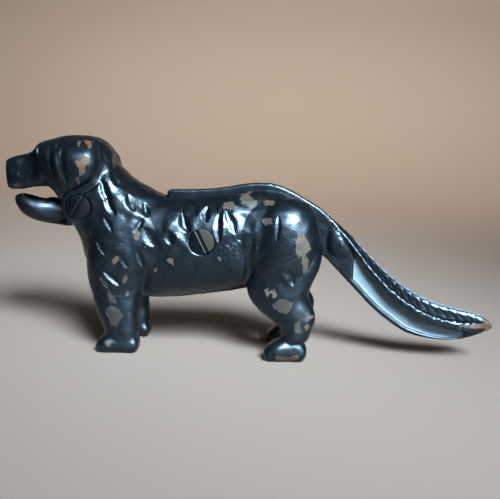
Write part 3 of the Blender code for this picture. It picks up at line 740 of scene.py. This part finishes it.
class Web:
    """Nodes of one tree, added and linked by short calls."""

    def __init__(self, tree):
        self.tree = tree

    def add(self, kind, inputs=None, **values):
        node = self.tree.nodes.new("ShaderNode" + kind)
        for key, value in values.items():
            setattr(node, key, value)
        for key, value in (inputs or {}).items():
            if isinstance(value, bpy.types.NodeSocket):
                self.tree.links.new(value, node.inputs[key])
            else:
                node.inputs[key].default_value = value
        return node

    def math(self, operation, a, b=0.0, clamp=False):
        return self.add("Math", {0: a, 1: b}, operation=operation, use_clamp=clamp).outputs[0]

    def ramp(self, factor, low, high):
        return self.add("MapRange", {"Value": factor, "From Min": low, "From Max": high},
                        interpolation_type="SMOOTHSTEP").outputs["Result"]

    def mix(self, factor, a, b):
        node = self.add("Mix", data_type="RGBA")
        for index, value in ((0, factor), (6, a), (7, b)):
            if isinstance(value, bpy.types.NodeSocket):
                self.tree.links.new(value, node.inputs[index])
            else:
                node.inputs[index].default_value = value
        return node.outputs[2]

    def noise(self, where, scale, detail=4.0, roughness=0.55):
        return self.add("TexNoise", {"Vector": where, "Scale": scale, "Detail": detail,
                                     "Roughness": roughness}).outputs["Fac"]


def group_named(name, inputs, outputs):
    """An empty node group with its sockets, as (group, web, in node, out node)."""
    group = bpy.data.node_groups.new(name, "ShaderNodeTree")
    for label, kind, value in inputs:
        socket(group, label, kind, "INPUT", value)
    for label, kind in outputs:
        socket(group, label, kind, "OUTPUT")
    web = Web(group)
    return group, web, group.nodes.new("NodeGroupInput"), group.nodes.new("NodeGroupOutput")


def chipped_paint_group():
    """Where the paint has gone, and how brown the iron is there."""
    group, web, given, result = group_named(
        "Chipped paint",
        (("Place", "Vector", None), ("Bare", "Float", 0.0), ("Brown", "Float", 0.0),
         ("Ridge", "Float", 0.0), ("Rubbed", "Float", 0.5)),
        (("Chip", "Float"), ("Brown", "Float")))
    place = given.outputs["Place"]
    ragged = web.noise(place, 420.0, 3.0, 0.6)
    coarse = web.noise(place, 95.0, 2.0, 0.5)
    breakup = web.math("ADD", web.math("MULTIPLY", ragged, 0.7),
                       web.math("MULTIPLY", coarse, 0.3))
    drawn = web.math("ADD", given.outputs["Bare"], web.math("SUBTRACT", breakup, 0.5))
    rim = web.math("MULTIPLY", given.outputs["Ridge"], given.outputs["Rubbed"])
    worn = web.math("ADD", web.math("MULTIPLY", rim, 1.2),
                    web.math("MULTIPLY", web.math("SUBTRACT", ragged, 0.5), 1.3))
    flecks = web.noise(place, 780.0, 2.0, 0.5)
    fleck = web.ramp(web.math("ADD", flecks, web.math("MULTIPLY", coarse, 0.25)), 0.875, 0.9)
    chip = web.math("MAXIMUM", web.ramp(drawn, 0.49, 0.53), web.ramp(worn, 0.62, 0.7))
    chip = web.math("MAXIMUM", chip, fleck)
    web.tree.links.new(chip, result.inputs["Chip"])
    brown = web.math("ADD", given.outputs["Brown"],
                     web.math("MULTIPLY", web.math("SUBTRACT", coarse, 0.5), 0.9), clamp=True)
    web.tree.links.new(brown, result.inputs["Brown"])
    return group


def cast_skin_group():
    """Height of the cast and painted skin: lumps, pits and brush marks."""
    group, web, given, result = group_named(
        "Cast skin",
        (("Place", "Vector", None), ("Lumps", "Float", 1.0), ("Pits", "Float", 1.0)),
        (("Height", "Float"),))
    place = given.outputs["Place"]
    lumps = web.math("MULTIPLY", web.noise(place, 210.0, 3.0, 0.5), given.outputs["Lumps"])
    fine = web.math("MULTIPLY", web.noise(place, 1300.0, 2.0, 0.6), 0.32)
    turned = web.add("Mapping", {"Vector": place, "Rotation": (0, math.radians(38), 0),
                                 "Scale": (0.12, 1, 1)}).outputs["Vector"]
    brushed = web.math("MULTIPLY", web.noise(turned, 900.0, 2.0, 0.6), 0.4)
    fine = web.math("ADD", fine, brushed)
    cells = web.add("TexVoronoi", {"Vector": place, "Scale": 420.0}).outputs["Distance"]
    pits = web.math("MULTIPLY", web.ramp(cells, 0.0, 0.22), given.outputs["Pits"])
    height = web.math("ADD", web.math("ADD", lumps, fine), web.math("MULTIPLY", pits, 0.22))
    web.tree.links.new(height, result.inputs["Height"])
    return group


def paint_material(name, groups, worn=0.22, lumps=1.0, gloss=0.31):
    """Glossy black paint over cast iron, chipped as the stored values say."""
    colours = settings("paint")
    made = bpy.data.materials.new(name)
    made.use_nodes = True
    web = Web(made.node_tree)
    shader = made.node_tree.nodes["Principled BSDF"]
    shader.inputs["Specular Tint"].default_value = (*colours.sheen, 1)
    shader.inputs["Specular IOR Level"].default_value = PAINT_GLINT
    place = web.add("TexCoord").outputs["Object"]
    bare = web.add("Attribute", attribute_name="bare").outputs["Fac"]
    rusty = web.add("Attribute", attribute_name="brown").outputs["Fac"]
    ridge = web.add("Attribute", attribute_name="ridge").outputs["Fac"]
    chips = web.add("Group", node_tree=groups["chips"])
    for key, value in (("Place", place), ("Bare", bare), ("Brown", rusty), ("Ridge", ridge)):
        web.tree.links.new(value, chips.inputs[key])
    chips.inputs["Rubbed"].default_value = worn
    skin = web.add("Group", node_tree=groups["skin"])
    web.tree.links.new(place, skin.inputs["Place"])
    skin.inputs["Lumps"].default_value = lumps
    lit_matte = web.add("Attribute", attribute_name="dull").outputs["Fac"]
    dull = web.math("MULTIPLY", web.ramp(web.noise(place, 60.0, 4.0, 0.6), 0.4, 0.7), 0.4)
    dull = web.math("MAXIMUM", dull, lit_matte)
    paint = web.mix(dull, (*colours.paint, 1), (*colours.worn_paint, 1))
    # Painted light on the sunk web and the throat plate: the lightened matte paint stands in for the
    # light these flat faces catch.
    paint = web.mix(lit_matte, paint, (*colours.lit_matte_paint, 1))
    metal = web.mix(chips.outputs["Brown"], (*colours.bare_metal, 1), (*colours.rust, 1))
    # Painted shade: a chip of low lightness takes in the grime colour, on top of the random grime.
    shade = web.add("Attribute", attribute_name="shade").outputs["Fac"]
    grime_and_shade = web.ramp(web.noise(place, 300.0, 4.0, 0.65), 0.35, 0.8)
    grime_and_shade = web.math("MAXIMUM", web.math("MULTIPLY", grime_and_shade, 0.75), web.math("SUBTRACT", 1.0, shade))
    metal = web.mix(grime_and_shade, metal, (*colours.grime_and_shade, 1))
    colour = web.mix(chips.outputs["Chip"], paint, metal)
    web.tree.links.new(colour, shader.inputs["Base Color"])
    rough = web.math("ADD", web.math("MULTIPLY", dull, 0.16), gloss)
    rough = web.math("ADD", rough, web.math("MULTIPLY", chips.outputs["Chip"], 0.3), clamp=True)
    web.tree.links.new(rough, shader.inputs["Roughness"])
    web.tree.links.new(web.math("MULTIPLY", chips.outputs["Chip"], 0.35), shader.inputs["Metallic"])
    step = web.math("MULTIPLY", chips.outputs["Chip"], -0.35)
    height = web.math("ADD", skin.outputs["Height"], step)
    bump = web.add("Bump", {"Height": height, "Distance": 0.00028, "Strength": 0.8})
    web.tree.links.new(bump.outputs["Normal"], shader.inputs["Normal"])
    return made


def material_groups():
    """The shared groups, made on first use."""
    known = bpy.data.node_groups
    return {
        "chips": known.get("Chipped paint") or chipped_paint_group(),
        "skin": known.get("Cast skin") or cast_skin_group(),
    }


def dressed(made, node, body, material):
    """Puts the paint on a finished piece and ties it to its solid."""
    made.data.materials.clear()
    made.data.materials.append(material)
    only(made)
    bpy.ops.object.shade_smooth_by_angle(angle=math.radians(50))
    kept_in(made, node)
    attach(made, body)
    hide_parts(node)


def dog_form():
    """The whole outside of the dog as one closed body."""
    screws = settings("screw")
    parts = [
        form("trunk", TRUNK, squareness=2.4),
        form("head", HEAD, squareness=2.7),
        form("muzzle", HEAD[:6], squareness=4.6),
        form("ear", EAR, squareness=2.2),
        form("foreleg", FORELEG),
        form("forepaw", FOREPAW),
        form("hindleg", HINDLEG, squareness=2.05),
        form("hindpaw", HINDPAW),
        rod("pad", NECK_AXIS, screws.head_radius + 0.0026, -outward(NECK_FACE - 1), -0.004),
    ]
    made = joined("dog_form", parts)
    modified(made, "REMESH", mode="VOXEL", voxel_size=settings("shell").cell)
    modified(made, "SMOOTH", factor=0.5, iterations=9)
    soft = made.vertex_groups.new(name="soft")
    share = (points_of(made)[:, 0] / settings("shell").length + 0.5) * 100
    chosen = [int(number) for number in np.flatnonzero(share > 19)]
    soft.add(chosen, 1.0, "REPLACE")
    return modified(made, "SMOOTH", factor=0.5, iterations=20, vertex_group="soft")


def half_shell(made, name, side, marks, chips, strength, seed):
    """One shell from a copy of the dog's form, carved, cut and hollowed."""
    shell = settings("shell")
    screws = settings("screw")
    lever = settings("lever")
    made.name = name
    points = points_of(made)
    normals = normals_of(made)
    if side > 0:
        points[:, 1] *= -1
        normals[:, 1] *= -1
        put_points(made, points)
        made.data.flip_normals()
    relief = carved(points, normals, marks, side, strength) + domes(points, normals, side)
    relief += waves(points, 0.013, 0.005, 40, seed) * 0.00011
    for u, v, reach in RUNS:
        r = np.hypot(points[:, 0] - along(u), points[:, 2] - upward(v)) / reach
        relief += np.exp(-r ** 2) * waves(points, 0.004, 0.0019, 40, seed + 1) * 0.00016
    put_points(made, points + normals * relief[:, None])
    points = points_of(made)
    bare, brown, shade = chip_mask(points, normals_of(made), chips, side)
    store(made, "bare", bare)
    store(made, "brown", brown)
    store(made, "shade", shade)
    ridge = np.clip(convexity(made) / 0.00012, 0, 1)
    store(made, "ridge", ridge)
    trim(made, (0, side * shell.seam_gap / 2, 0), (0, -side, 0))
    trim(made, (0, 0, 0), (0, 0, -1))
    inner = TRUNK[3:-1]
    ends = (inner[0], inner[-1])
    rings = [section(row, 14, 2.4, 2 * shell.wall if row in ends else shell.wall)
             for row in inner]
    combined(made, loft("hollow", rings), "DIFFERENCE")
    room = spots(SLOT_UNDER)
    room += eye_arc(65, 157, 24, lever.eye_radius + 0.0012)
    room.append((along(6.4), upward(NECK_AXIS[1] + 4.6)))
    combined(made, plate("room", room, lever.thickness / 2 + lever.side_play), "DIFFERENCE")
    face = outward(BODY_FACE)
    for label, radius, start in (("boss", lever.boss_radius, shell.seam_gap / 2),
                                 ("backing", screws.head_radius + 0.0026,
                                  face - screws.head_height - shell.wall)):
        low, high = sorted((side * start, side * (face - shell.wall / 2)))
        combined(made, rod(label, BODY_AXIS, radius, low, high), "UNION")
    for axis, share in ((NECK_AXIS, NECK_FACE), (BODY_AXIS, BODY_FACE)):
        hole = rod("hole", axis, screws.shank_radius + screws.hole_play,
                   -shell.width, shell.width)
        combined(made, hole, "DIFFERENCE")
        if side < 0:
            floor = outward(share) - screws.head_height - shell.seam_gap
            seat = rod("seat", axis, screws.head_radius + screws.head_play,
                       -shell.width, -floor)
            combined(made, seat, "DIFFERENCE")
            rim = screws.head_radius + screws.head_play
            rings = [[(along(axis[0]) + r * math.cos(2 * math.pi * i / 64), y,
                       upward(axis[1]) + r * math.sin(2 * math.pi * i / 64))
                      for i in range(64)]
                     for y, r in ((-shell.width, rim + shell.width - outward(share)),
                                  (-outward(share), rim), (0.0005 - outward(share), rim - 0.0005))]
            combined(made, loft("rim", rings), "DIFFERENCE")
    return made


def lookup(u, rows, column=1):
    """A column of a table at places between its rows, by their first column."""
    return np.interp(u, [row[0] for row in rows], [row[column] for row in rows])


def eye_arc(start, end, steps, reach):
    """Points round the neck screw's axis, from one angle in degrees to another."""
    turns = [math.radians(start + (end - start) * i / steps) for i in range(steps + 1)]
    return [(along(NECK_AXIS[0]) + reach * math.cos(turn),
             upward(NECK_AXIS[1]) + reach * math.sin(turn)) for turn in turns]


class NUTCRACKER_OT_shells(bpy.types.Operator):
    """Builds the two cast shells of the dog"""

    bl_idname = "nutcracker.shells"
    bl_label = "Cast Shells"

    def execute(self, context):
        shell = settings("shell")
        near = dog_form()
        far = near.copy()
        far.data = near.data.copy()
        context.collection.objects.link(far)
        half_shell(near, "near_shell", -1, NEAR_MARKS, NEAR_CHIPS, 1.0, 11)
        half_shell(far, "far_shell", 1, NEAR_MARKS, FAR_CHIPS, shell.far_carving, 23)
        groups = material_groups()
        dressed(near, "left_half", "body", paint_material("near shell paint", groups))
        dressed(far, "right_half", "body", paint_material("far shell paint", groups))
        return {"FINISHED"}


def lever_outline():
    """Outline of the lever's plate, in metres, once round."""
    screws = settings("screw")
    lever = settings("lever")
    stop = upward(BODY_AXIS[1]) + lever.boss_radius + screws.hole_play
    outline = spots(TAIL_TOP + TAIL_UNDER)
    outline += [(along(43.2), stop), (along(38.9), stop)]
    outline += spots(ARM_UNDER)
    outline += eye_arc(-62, -112, 6, lever.eye_radius)
    outline += spots(JAW_PLATE)
    outline += eye_arc(143, 37, 14, lever.eye_radius)
    outline += spots(ARM_TOP)
    return outline


def feather():
    """The domed upper side of the tail, still without its ribs."""
    lever = settings("lever")
    rings = []
    for u in np.linspace(FEATHER[0][0], FEATHER[-1][0], 60):
        wide = lookup(u, FEATHER) * lever.tail_half_width
        droop = upward(lookup(u, FEATHER, 2))
        ridge = upward(lookup(u, TAIL_TOP))
        top = []
        under = []
        for lane in np.linspace(-1, 1, 17):
            shift = 0.6 * abs(lane) * wide * min(1, (100 - u) / 6) * min(1, (u - 62) / 8)
            x = min(along(u) + shift, along(99.4))
            z = ridge + ridge_fall(x, u) - droop * abs(lane) ** 1.6
            thick = lever.feather_edge + lever.feather_crown * (1 - lane ** 2)
            top.append((x, lane * wide, z))
            under.append((x, lane * wide * 0.96, z - thick * min(1, (100.5 - u) / 4)))
        rings.append(top + under[::-1])
    return loft("feather", rings)


def ridge_fall(x, u):
    """How much lower the tail's ridge is at a place than at a share of the length."""
    there = lookup(length_share(x), TAIL_TOP)
    return upward(there - lookup(u, TAIL_TOP))


def web_panel(side):
    """Cutter for the sunk side of the tail below its feather."""
    lever = settings("lever")
    u_values = [71 + i * 1.45 for i in range(17)]
    bead = np.interp(u_values, (71, 79, 86, 92), (3.7, 3, 1.6, 0.8))
    low = lookup(u_values, sorted(TAIL_UNDER)) + bead
    high = lookup(u_values, sorted(TAIL_TOP)) - 5.5
    outline = spots(zip(u_values, low))
    outline += [(along(u), upward(max(h, l + 0.4)))
                for u, h, l in reversed(list(zip(u_values, high, low)))]
    made = plate("panel", outline, lever.thickness / 2)
    points = points_of(made)
    points[:, 1] += side * (lever.thickness - lever.panel_depth)
    put_points(made, points)
    return made


def tail_run(points):
    """Distance along the tail's ridge of each point, and its depth below the ridge."""
    line = np.array(spots(TAIL_TOP))
    place = points[:, (0, 2)]
    best = np.full(len(points), 1e9)
    run = np.zeros(len(points))
    before = 0.0
    for a, b in zip(line, line[1:]):
        length = np.linalg.norm(b - a)
        t = np.clip((place - a) @ (b - a) / length ** 2, 0, 1)
        away = np.linalg.norm(place - a - t[:, None] * (b - a), axis=1)
        nearer = away < best
        best = np.where(nearer, away, best)
        run = np.where(nearer, before + t * length, run)
        before += length
    return run, best


def rib_relief(points, normals):
    """Height of the slanting ribs of hair on the upper side of the feather and of the bead along its
    edge.
    """
    lever = settings("lever")
    run, deep = tail_run(points)
    slant = run - 1.05 * np.abs(points[:, 1]) - 0.25 * deep
    phase = slant / lever.rib_spacing % 1
    ridge = np.abs(2 * phase - 1) ** 5
    share = length_share(points[:, 0])
    mask = np.clip((share - 68) / 5, 0, 1) * np.clip((99 - share) / 2.5, 0, 1)
    mask *= np.clip(normals[:, 2] * 2.4 + normals[:, 0] * 0.8, 0, 1)
    mask *= np.clip((0.0125 - deep) / 0.003, 0, 1) * np.clip(1.3 - np.abs(normals[:, 1]), 0, 1)
    wide = lookup(share, FEATHER) * lever.tail_half_width
    lane = np.abs(points[:, 1]) / wide
    bead = np.clip(1 - ((lane - 0.97) / 0.13) ** 2, 0, 1) * np.clip((share - 66) / 4, 0, 1)
    lumps = 0.75 + 0.4 * waves(points, 0.006, 0.003, 30, 12)
    relief = (ridge - 0.4) * mask * (1 - bead) + bead * lumps * 1.3
    return relief * lever.rib_relief


class NUTCRACKER_OT_lever(bpy.types.Operator):
    """Builds the lever that is lower jaw and tail"""

    bl_idname = "nutcracker.lever"
    bl_label = "Tail Lever"

    def execute(self, context):
        lever = settings("lever")
        screws = settings("screw")
        made = plate("lever_plate", lever_outline(), lever.thickness / 2)
        modified(made, "BEVEL", width=lever.edge_round, segments=3, limit_method="ANGLE",
                 angle_limit=math.radians(60))
        for side in (-1, 1):
            combined(made, web_panel(side), "DIFFERENCE")
        jaw = form("jaw", JAW, 5, 36, 2.2)
        combined(jaw, form("bowl", BOWL, 5, 32, 2.2), "DIFFERENCE")
        made = joined("lever", [made, form("tail_root", TAIL_ROOT, 4, 36, 2.2), feather(), jaw])
        modified(made, "REMESH", mode="VOXEL", voxel_size=lever.cell)
        modified(made, "SMOOTH", factor=0.5, iterations=5)
        points = points_of(made)
        normals = normals_of(made)
        relief = rib_relief(points, normals)
        relief += waves(points, 0.016, 0.005, 30, 31) * 0.00005
        place = along(67.2), upward(62)
        root = np.exp(-((points[:, 0] - place[0]) ** 2 + (points[:, 2] - place[1]) ** 2) / 0.008 ** 2)
        relief += root * waves(points, 0.0045, 0.0022, 40, 33) * 0.00013
        put_points(made, points + normals * relief[:, None])
        points = points_of(made)
        bare, brown, dull = lever_wear(points, normals_of(made))
        store(made, "bare", bare)
        store(made, "brown", brown)
        store(made, "shade", np.full(len(points), 0.9))
        store(made, "dull", dull)
        store(made, "ridge", np.clip(convexity(made) / 0.00012, 0, 1))
        hole = rod("hole", NECK_AXIS, screws.shank_radius + screws.hole_play, -0.03, 0.03)
        combined(made, hole, "DIFFERENCE")
        dressed(made, "tail_lever", "lever",
                paint_material("lever paint", material_groups(), worn=0.35))
        return {"FINISHED"}


def lever_wear(points, normals):
    """How bare, how brown and how dull each point of the lever is; the dull sunk web and throat plate
    also get the lightened matte paint, which is painted light.
    """
    share_u = length_share(points[:, 0])
    share_v = points[:, 2] / settings("shell").height * 100
    warp = waves(points, 0.008, 0.002, 24, 5) * 0.25
    tip = np.clip((share_u - 97.2) / 1.4 + warp, 0, 1) * (share_v > 15.5)
    rim = np.clip(1.5 - np.hypot((share_u - 95.6) / 2.6, (share_v - 18.6) / 1.2) + warp, 0, 1)
    bare = np.maximum(tip, rim * 0.9) * (normals[:, 1] < 0.6)
    brown = np.clip(0.75 + warp, 0, 1)
    under = lookup(share_u, sorted(TAIL_UNDER))
    # The sunk web and the throat plate are dull and are painted lighter, as painted light for the
    # light these flat faces catch.
    sunk = (np.abs(points[:, 1]) < 0.0031) & (share_u > 70.8) & (share_v > under + 0.6)
    throat = (share_u > 12.5) & (share_u < 18) & (share_v < 66)
    dull = np.where(sunk, 1.0, np.where(throat, 0.8, 0.0))
    gloss = np.exp(-((share_u - 67.5) / 3.5) ** 2 - ((share_v - 61) / 9) ** 2)
    wide = lookup(share_u, FEATHER)
    lane = np.abs(points[:, 1]) / (wide * settings("lever").tail_half_width)
    gloss = np.maximum(gloss, np.clip((lane - 0.8) * 8, 0, 1) * (share_u > 65))
    dull = np.where(dull > 0, dull, -gloss)
    return bare, brown, dull


def slotted_screw(name, axis, face, turn, slot_share):
    """A screw with a rounded head on the near side and a slot at an angle in degrees."""
    screws = settings("screw")
    radius = screws.head_radius
    height = screws.head_height
    made = rod(name, axis, radius, -face, height - face, 72)
    only(made)
    bpy.ops.object.mode_set(mode="EDIT")
    bpy.ops.mesh.select_all(action="DESELECT")
    mesh = bmesh.from_edit_mesh(made.data)
    for ring in mesh.faces:
        ring.select_set(ring.normal.y < -0.9)
    mesh.select_flush_mode()
    bmesh.update_edit_mesh(made.data)
    for inset, rise in ((0.13, 0.23), (0.32, 0.12)):
        bpy.ops.mesh.inset(thickness=radius * inset)
        mesh = bmesh.from_edit_mesh(made.data)
        for vertex in mesh.verts:
            if not vertex.select:
                vertex.co.y = max(vertex.co.y, -face + height * rise)
        bmesh.update_edit_mesh(made.data)
    finish_edit(made)
    far_end = face - height / 2
    shank = rod("shank", axis, screws.shank_radius, height - face - 0.001, far_end, 48)
    modified(shank, "BEVEL", width=screws.shank_radius * 0.2, segments=2, limit_method="ANGLE",
             angle_limit=math.radians(60))
    combined(made, shank, "UNION")
    angle = math.radians(turn)
    centre = Vector((along(axis[0]), 0, upward(axis[1])))
    run = Vector((math.cos(angle), 0, -math.sin(angle))) * radius * 1.2
    across = Vector((math.sin(angle), 0, math.cos(angle))) * screws.slot_width * slot_share / 2
    rings = []
    for y, wide in ((-face - 0.002, 2.7), (-face, 1.25), (screws.slot_depth - face, 0.6)):
        corners = (centre + run + across * wide, centre - run + across * wide,
                   centre - run - across * wide, centre + run - across * wide)
        rings.append([(p.x, y, p.z) for p in corners])
    cutter = loft("slot", rings)
    combined(made, cutter, "DIFFERENCE")
    modified(made, "BEVEL", width=0.00016, segments=2, limit_method="ANGLE",
             angle_limit=math.radians(50))
    return made


def worn_head(material, axis, face, turn, amount):
    """Bare metal on one half of a screw's head, a painted highlight along its slot coloured as rubbed
    bright metal, and painted shadow down in the slot.
    """
    screws = settings("screw")
    web = Web(material.node_tree)
    shader = material.node_tree.nodes["Principled BSDF"]
    place = web.add("TexCoord").outputs["Object"]
    angle = math.radians(turn)
    across = (math.sin(angle), 0, math.cos(angle))
    start = along(axis[0]) * across[0] + upward(axis[1]) * across[2]
    reach = web.add("VectorMath", {0: place, 1: across}, operation="DOT_PRODUCT").outputs["Value"]
    apart = web.math("SUBTRACT", reach, start)
    depth = web.math("ADD", web.add("SeparateXYZ", {0: place}).outputs["Y"], face)
    ragged = web.math("MULTIPLY", web.math("SUBTRACT", web.noise(place, 330.0), 0.5), 0.0022)
    patch = web.ramp(web.math("ADD", apart, ragged), 0.0008, 0.0011)
    patch = web.math("MULTIPLY", patch, amount)
    # A painted highlight, in the rubbed edge colour, along one edge of the slot.
    near = web.math("SUBTRACT", 1.0, web.math("ABSOLUTE", web.math(
        "DIVIDE", web.math("ADD", apart, screws.slot_width * 0.52), screws.slot_width * 0.2)),
        clamp=True)
    edge = web.math("MULTIPLY", web.ramp(near, 0.0, 0.4), amount)
    # Painted shadow: the slot is darkened to near black below the head's face.
    sunk = web.math("MULTIPLY", web.ramp(depth, 0.0004, 0.0009),
                    web.ramp(web.math("ABSOLUTE", apart), 0.0012, 0.0009))
    colours = settings("paint")
    painted = shader.inputs["Base Color"].links[0].from_socket
    colour = web.mix(patch, painted, (*colours.bare_metal, 1))
    colour = web.mix(edge, colour, (*colours.rubbed_edge_and_highlight, 1))
    # Near black for the painted shadow in the slot.
    colour = web.mix(sunk, colour, (0.001, 0.001, 0.001, 1))
    web.tree.links.new(colour, shader.inputs["Base Color"])


class NUTCRACKER_OT_screws(bpy.types.Operator):
    """Builds the two slotted screws"""

    bl_idname = "nutcracker.screws"
    bl_label = "Slotted Screws"

    def execute(self, context):
        groups = material_groups()
        for node, name, axis, share, turn, slot_share in (
                ("neck_screw", "pivot_screw", NECK_AXIS, NECK_FACE, 120, 0.5),
                ("body_screw", "clamp_screw", BODY_AXIS, BODY_FACE, 62, 1.0)):
            made = slotted_screw(name, axis, outward(share), turn, slot_share)
            paint = paint_material(name + " paint", groups, worn=0.2, lumps=0.4)
            shader = paint.node_tree.nodes["Principled BSDF"]
            shader.inputs["Specular IOR Level"].default_value = SCREW_GLINT
            worn_head(paint, axis, outward(share), turn, 0.45 if axis == BODY_AXIS else 0.05)
            dressed(made, node, "body", paint)
        return {"FINISHED"}


class NUTCRACKER_OT_stage(bpy.types.Operator):
    """Builds the floor, the lights and the camera"""

    bl_idname = "nutcracker.stage"
    bl_label = "Stage"

    def execute(self, context):
        stage = settings("stage")
        deselect()
        floor = backdrop(stage.room_radius)
        floor.data.materials.append(floor_material())
        only(floor)
        bpy.ops.object.shade_smooth()
        window = light("window", WINDOW_AT, DOG_AT, 0.5, stage.key_power,
                       (0.7, 0.85, 1.0))
        window.data.spread = math.radians(WINDOW_SPREAD)
        lamp = light("lamp", LAMP_AT, DOG_AT, 0.3, stage.fill_power,
                     (0.8, 0.9, 1.0))
        lamp.data.spread = math.radians(LAMP_SPREAD)
        backlight = light("backlight", BACKLIGHT_AT, BACKDROP_AT, 0.9, stage.back_power,
                          (1.0, 0.96, 0.9))
        backlight.data.spread = math.radians(BACKLIGHT_SPREAD)
        world = bpy.data.worlds.new("room")
        bpy.context.scene.world = world
        world.use_nodes = True
        back = world.node_tree.nodes["Background"]
        back.inputs["Color"].default_value = (1.0, 0.98, 0.95, 1)
        back.inputs["Strength"].default_value = stage.sky
        bpy.context.scene.view_settings.view_transform = "Standard"
        camera_at(stage.distance)
        return {"FINISHED"}


def backdrop(radius):
    """A round floor whose rim curves up into a wall, open at the top."""
    profile = [(radius * 0.72 * i / 10, 0) for i in range(1, 11)]
    for step in range(1, 17):
        turn = step / 16 * math.pi / 2
        profile.append((radius * (0.72 + 0.28 * math.sin(turn)),
                        radius * 0.28 * (1 - math.cos(turn))))
    profile.append((radius, radius * 0.42))
    rings = [[(r * math.cos(2 * math.pi * i / 96), r * math.sin(2 * math.pi * i / 96), z - 0.0004)
              for i in range(96)] for r, z in profile]
    made = loft("floor", rings)
    bpy.ops.object.mode_set(mode="EDIT")
    bpy.ops.mesh.select_all(action="DESELECT")
    mesh = bmesh.from_edit_mesh(made.data)
    for lid in mesh.faces:
        lid.select_set(len(lid.verts) > 4 and lid.calc_center_median().z > radius * 0.4)
    bmesh.update_edit_mesh(made.data)
    bpy.ops.mesh.delete(type="ONLY_FACE")
    bpy.ops.mesh.select_all(action="SELECT")
    bpy.ops.mesh.flip_normals()
    bpy.ops.object.mode_set(mode="OBJECT")
    return made


def floor_material():
    stage = settings("stage")
    made = bpy.data.materials.new("floor")
    made.use_nodes = True
    shader = made.node_tree.nodes["Principled BSDF"]
    shader.inputs["Base Color"].default_value = (*stage.floor, 1)
    shader.inputs["Roughness"].default_value = 0.8
    return made


def light(name, place, target, size, power, colour):
    """A square soft light."""
    lamp = bpy.data.lights.new(name, "AREA")
    lamp.size = size
    lamp.energy = power
    lamp.color = colour
    made = bpy.data.objects.new(name, lamp)
    bpy.context.collection.objects.link(made)
    made.location = place
    aim = Vector(target) - Vector(place)
    made.rotation_euler = aim.to_track_quat("-Z", "Y").to_euler()
    return made


def camera_at(distance):
    """The camera at the photograph's angle, found by fitting the dog's outline."""
    turn, rise, tilt = (math.radians(v) for v in (3.1, 8.8, 2.35))
    back = Vector((math.sin(turn) * math.cos(rise), -math.cos(turn) * math.cos(rise),
                   math.sin(rise)))
    right = Vector((math.cos(turn), math.sin(turn), 0))
    up = back.cross(right)
    across = right * math.cos(tilt) + up * math.sin(tilt)
    over = up * math.cos(tilt) - right * math.sin(tilt)
    data = bpy.data.cameras.new("camera")
    data.sensor_width = 36
    data.lens = 60.48
    data.clip_start = 0.01
    made = bpy.data.objects.new("camera", data)
    bpy.context.collection.objects.link(made)
    made.matrix_world = Matrix.Translation(Vector((0, 0, 0.058)) + back * distance) @ Matrix(
        (across, over, back)).transposed().to_4x4()
    bpy.context.scene.camera = made


class NUTCRACKER_PT_panel(bpy.types.Panel):
    """Sizes, colours and steps of the nutcracker"""

    bl_label = "Dog Nutcracker"
    bl_idname = "NUTCRACKER_PT_panel"
    bl_space_type = "VIEW_3D"
    bl_region_type = "UI"
    bl_category = "Nutcracker"

    def draw(self, context):
        for kind, operator in (("shell", "nutcracker.shells"), ("lever", "nutcracker.lever"),
                               ("screw", "nutcracker.screws"), ("paint", None),
                               ("stage", "nutcracker.stage")):
            box = self.layout.box()
            group = settings(kind)
            for key in type(group).__annotations__:
                box.prop(group, key)
            if operator:
                box.operator(operator)


GROUPS = {"shell": ShellSettings, "lever": LeverSettings, "screw": ScrewSettings,
          "paint": PaintSettings, "stage": StageSettings}
CLASSES = (*GROUPS.values(), NUTCRACKER_OT_shells, NUTCRACKER_OT_lever, NUTCRACKER_OT_screws,
           NUTCRACKER_OT_stage, NUTCRACKER_PT_panel)


def register():
    for made in CLASSES:
        bpy.utils.register_class(made)
    for kind, group in GROUPS.items():
        setattr(bpy.types.Scene, "nutcracker_" + kind, bpy.props.PointerProperty(type=group))


def unregister():
    for kind in GROUPS:
        delattr(bpy.types.Scene, "nutcracker_" + kind)
    for made in reversed(CLASSES):
        bpy.utils.unregister_class(made)


def main():
    register()
    bpy.ops.nutcracker.shells()
    bpy.ops.nutcracker.lever()
    bpy.ops.nutcracker.screws()
    bpy.ops.nutcracker.stage()


if __name__ == "__main__":
    main()
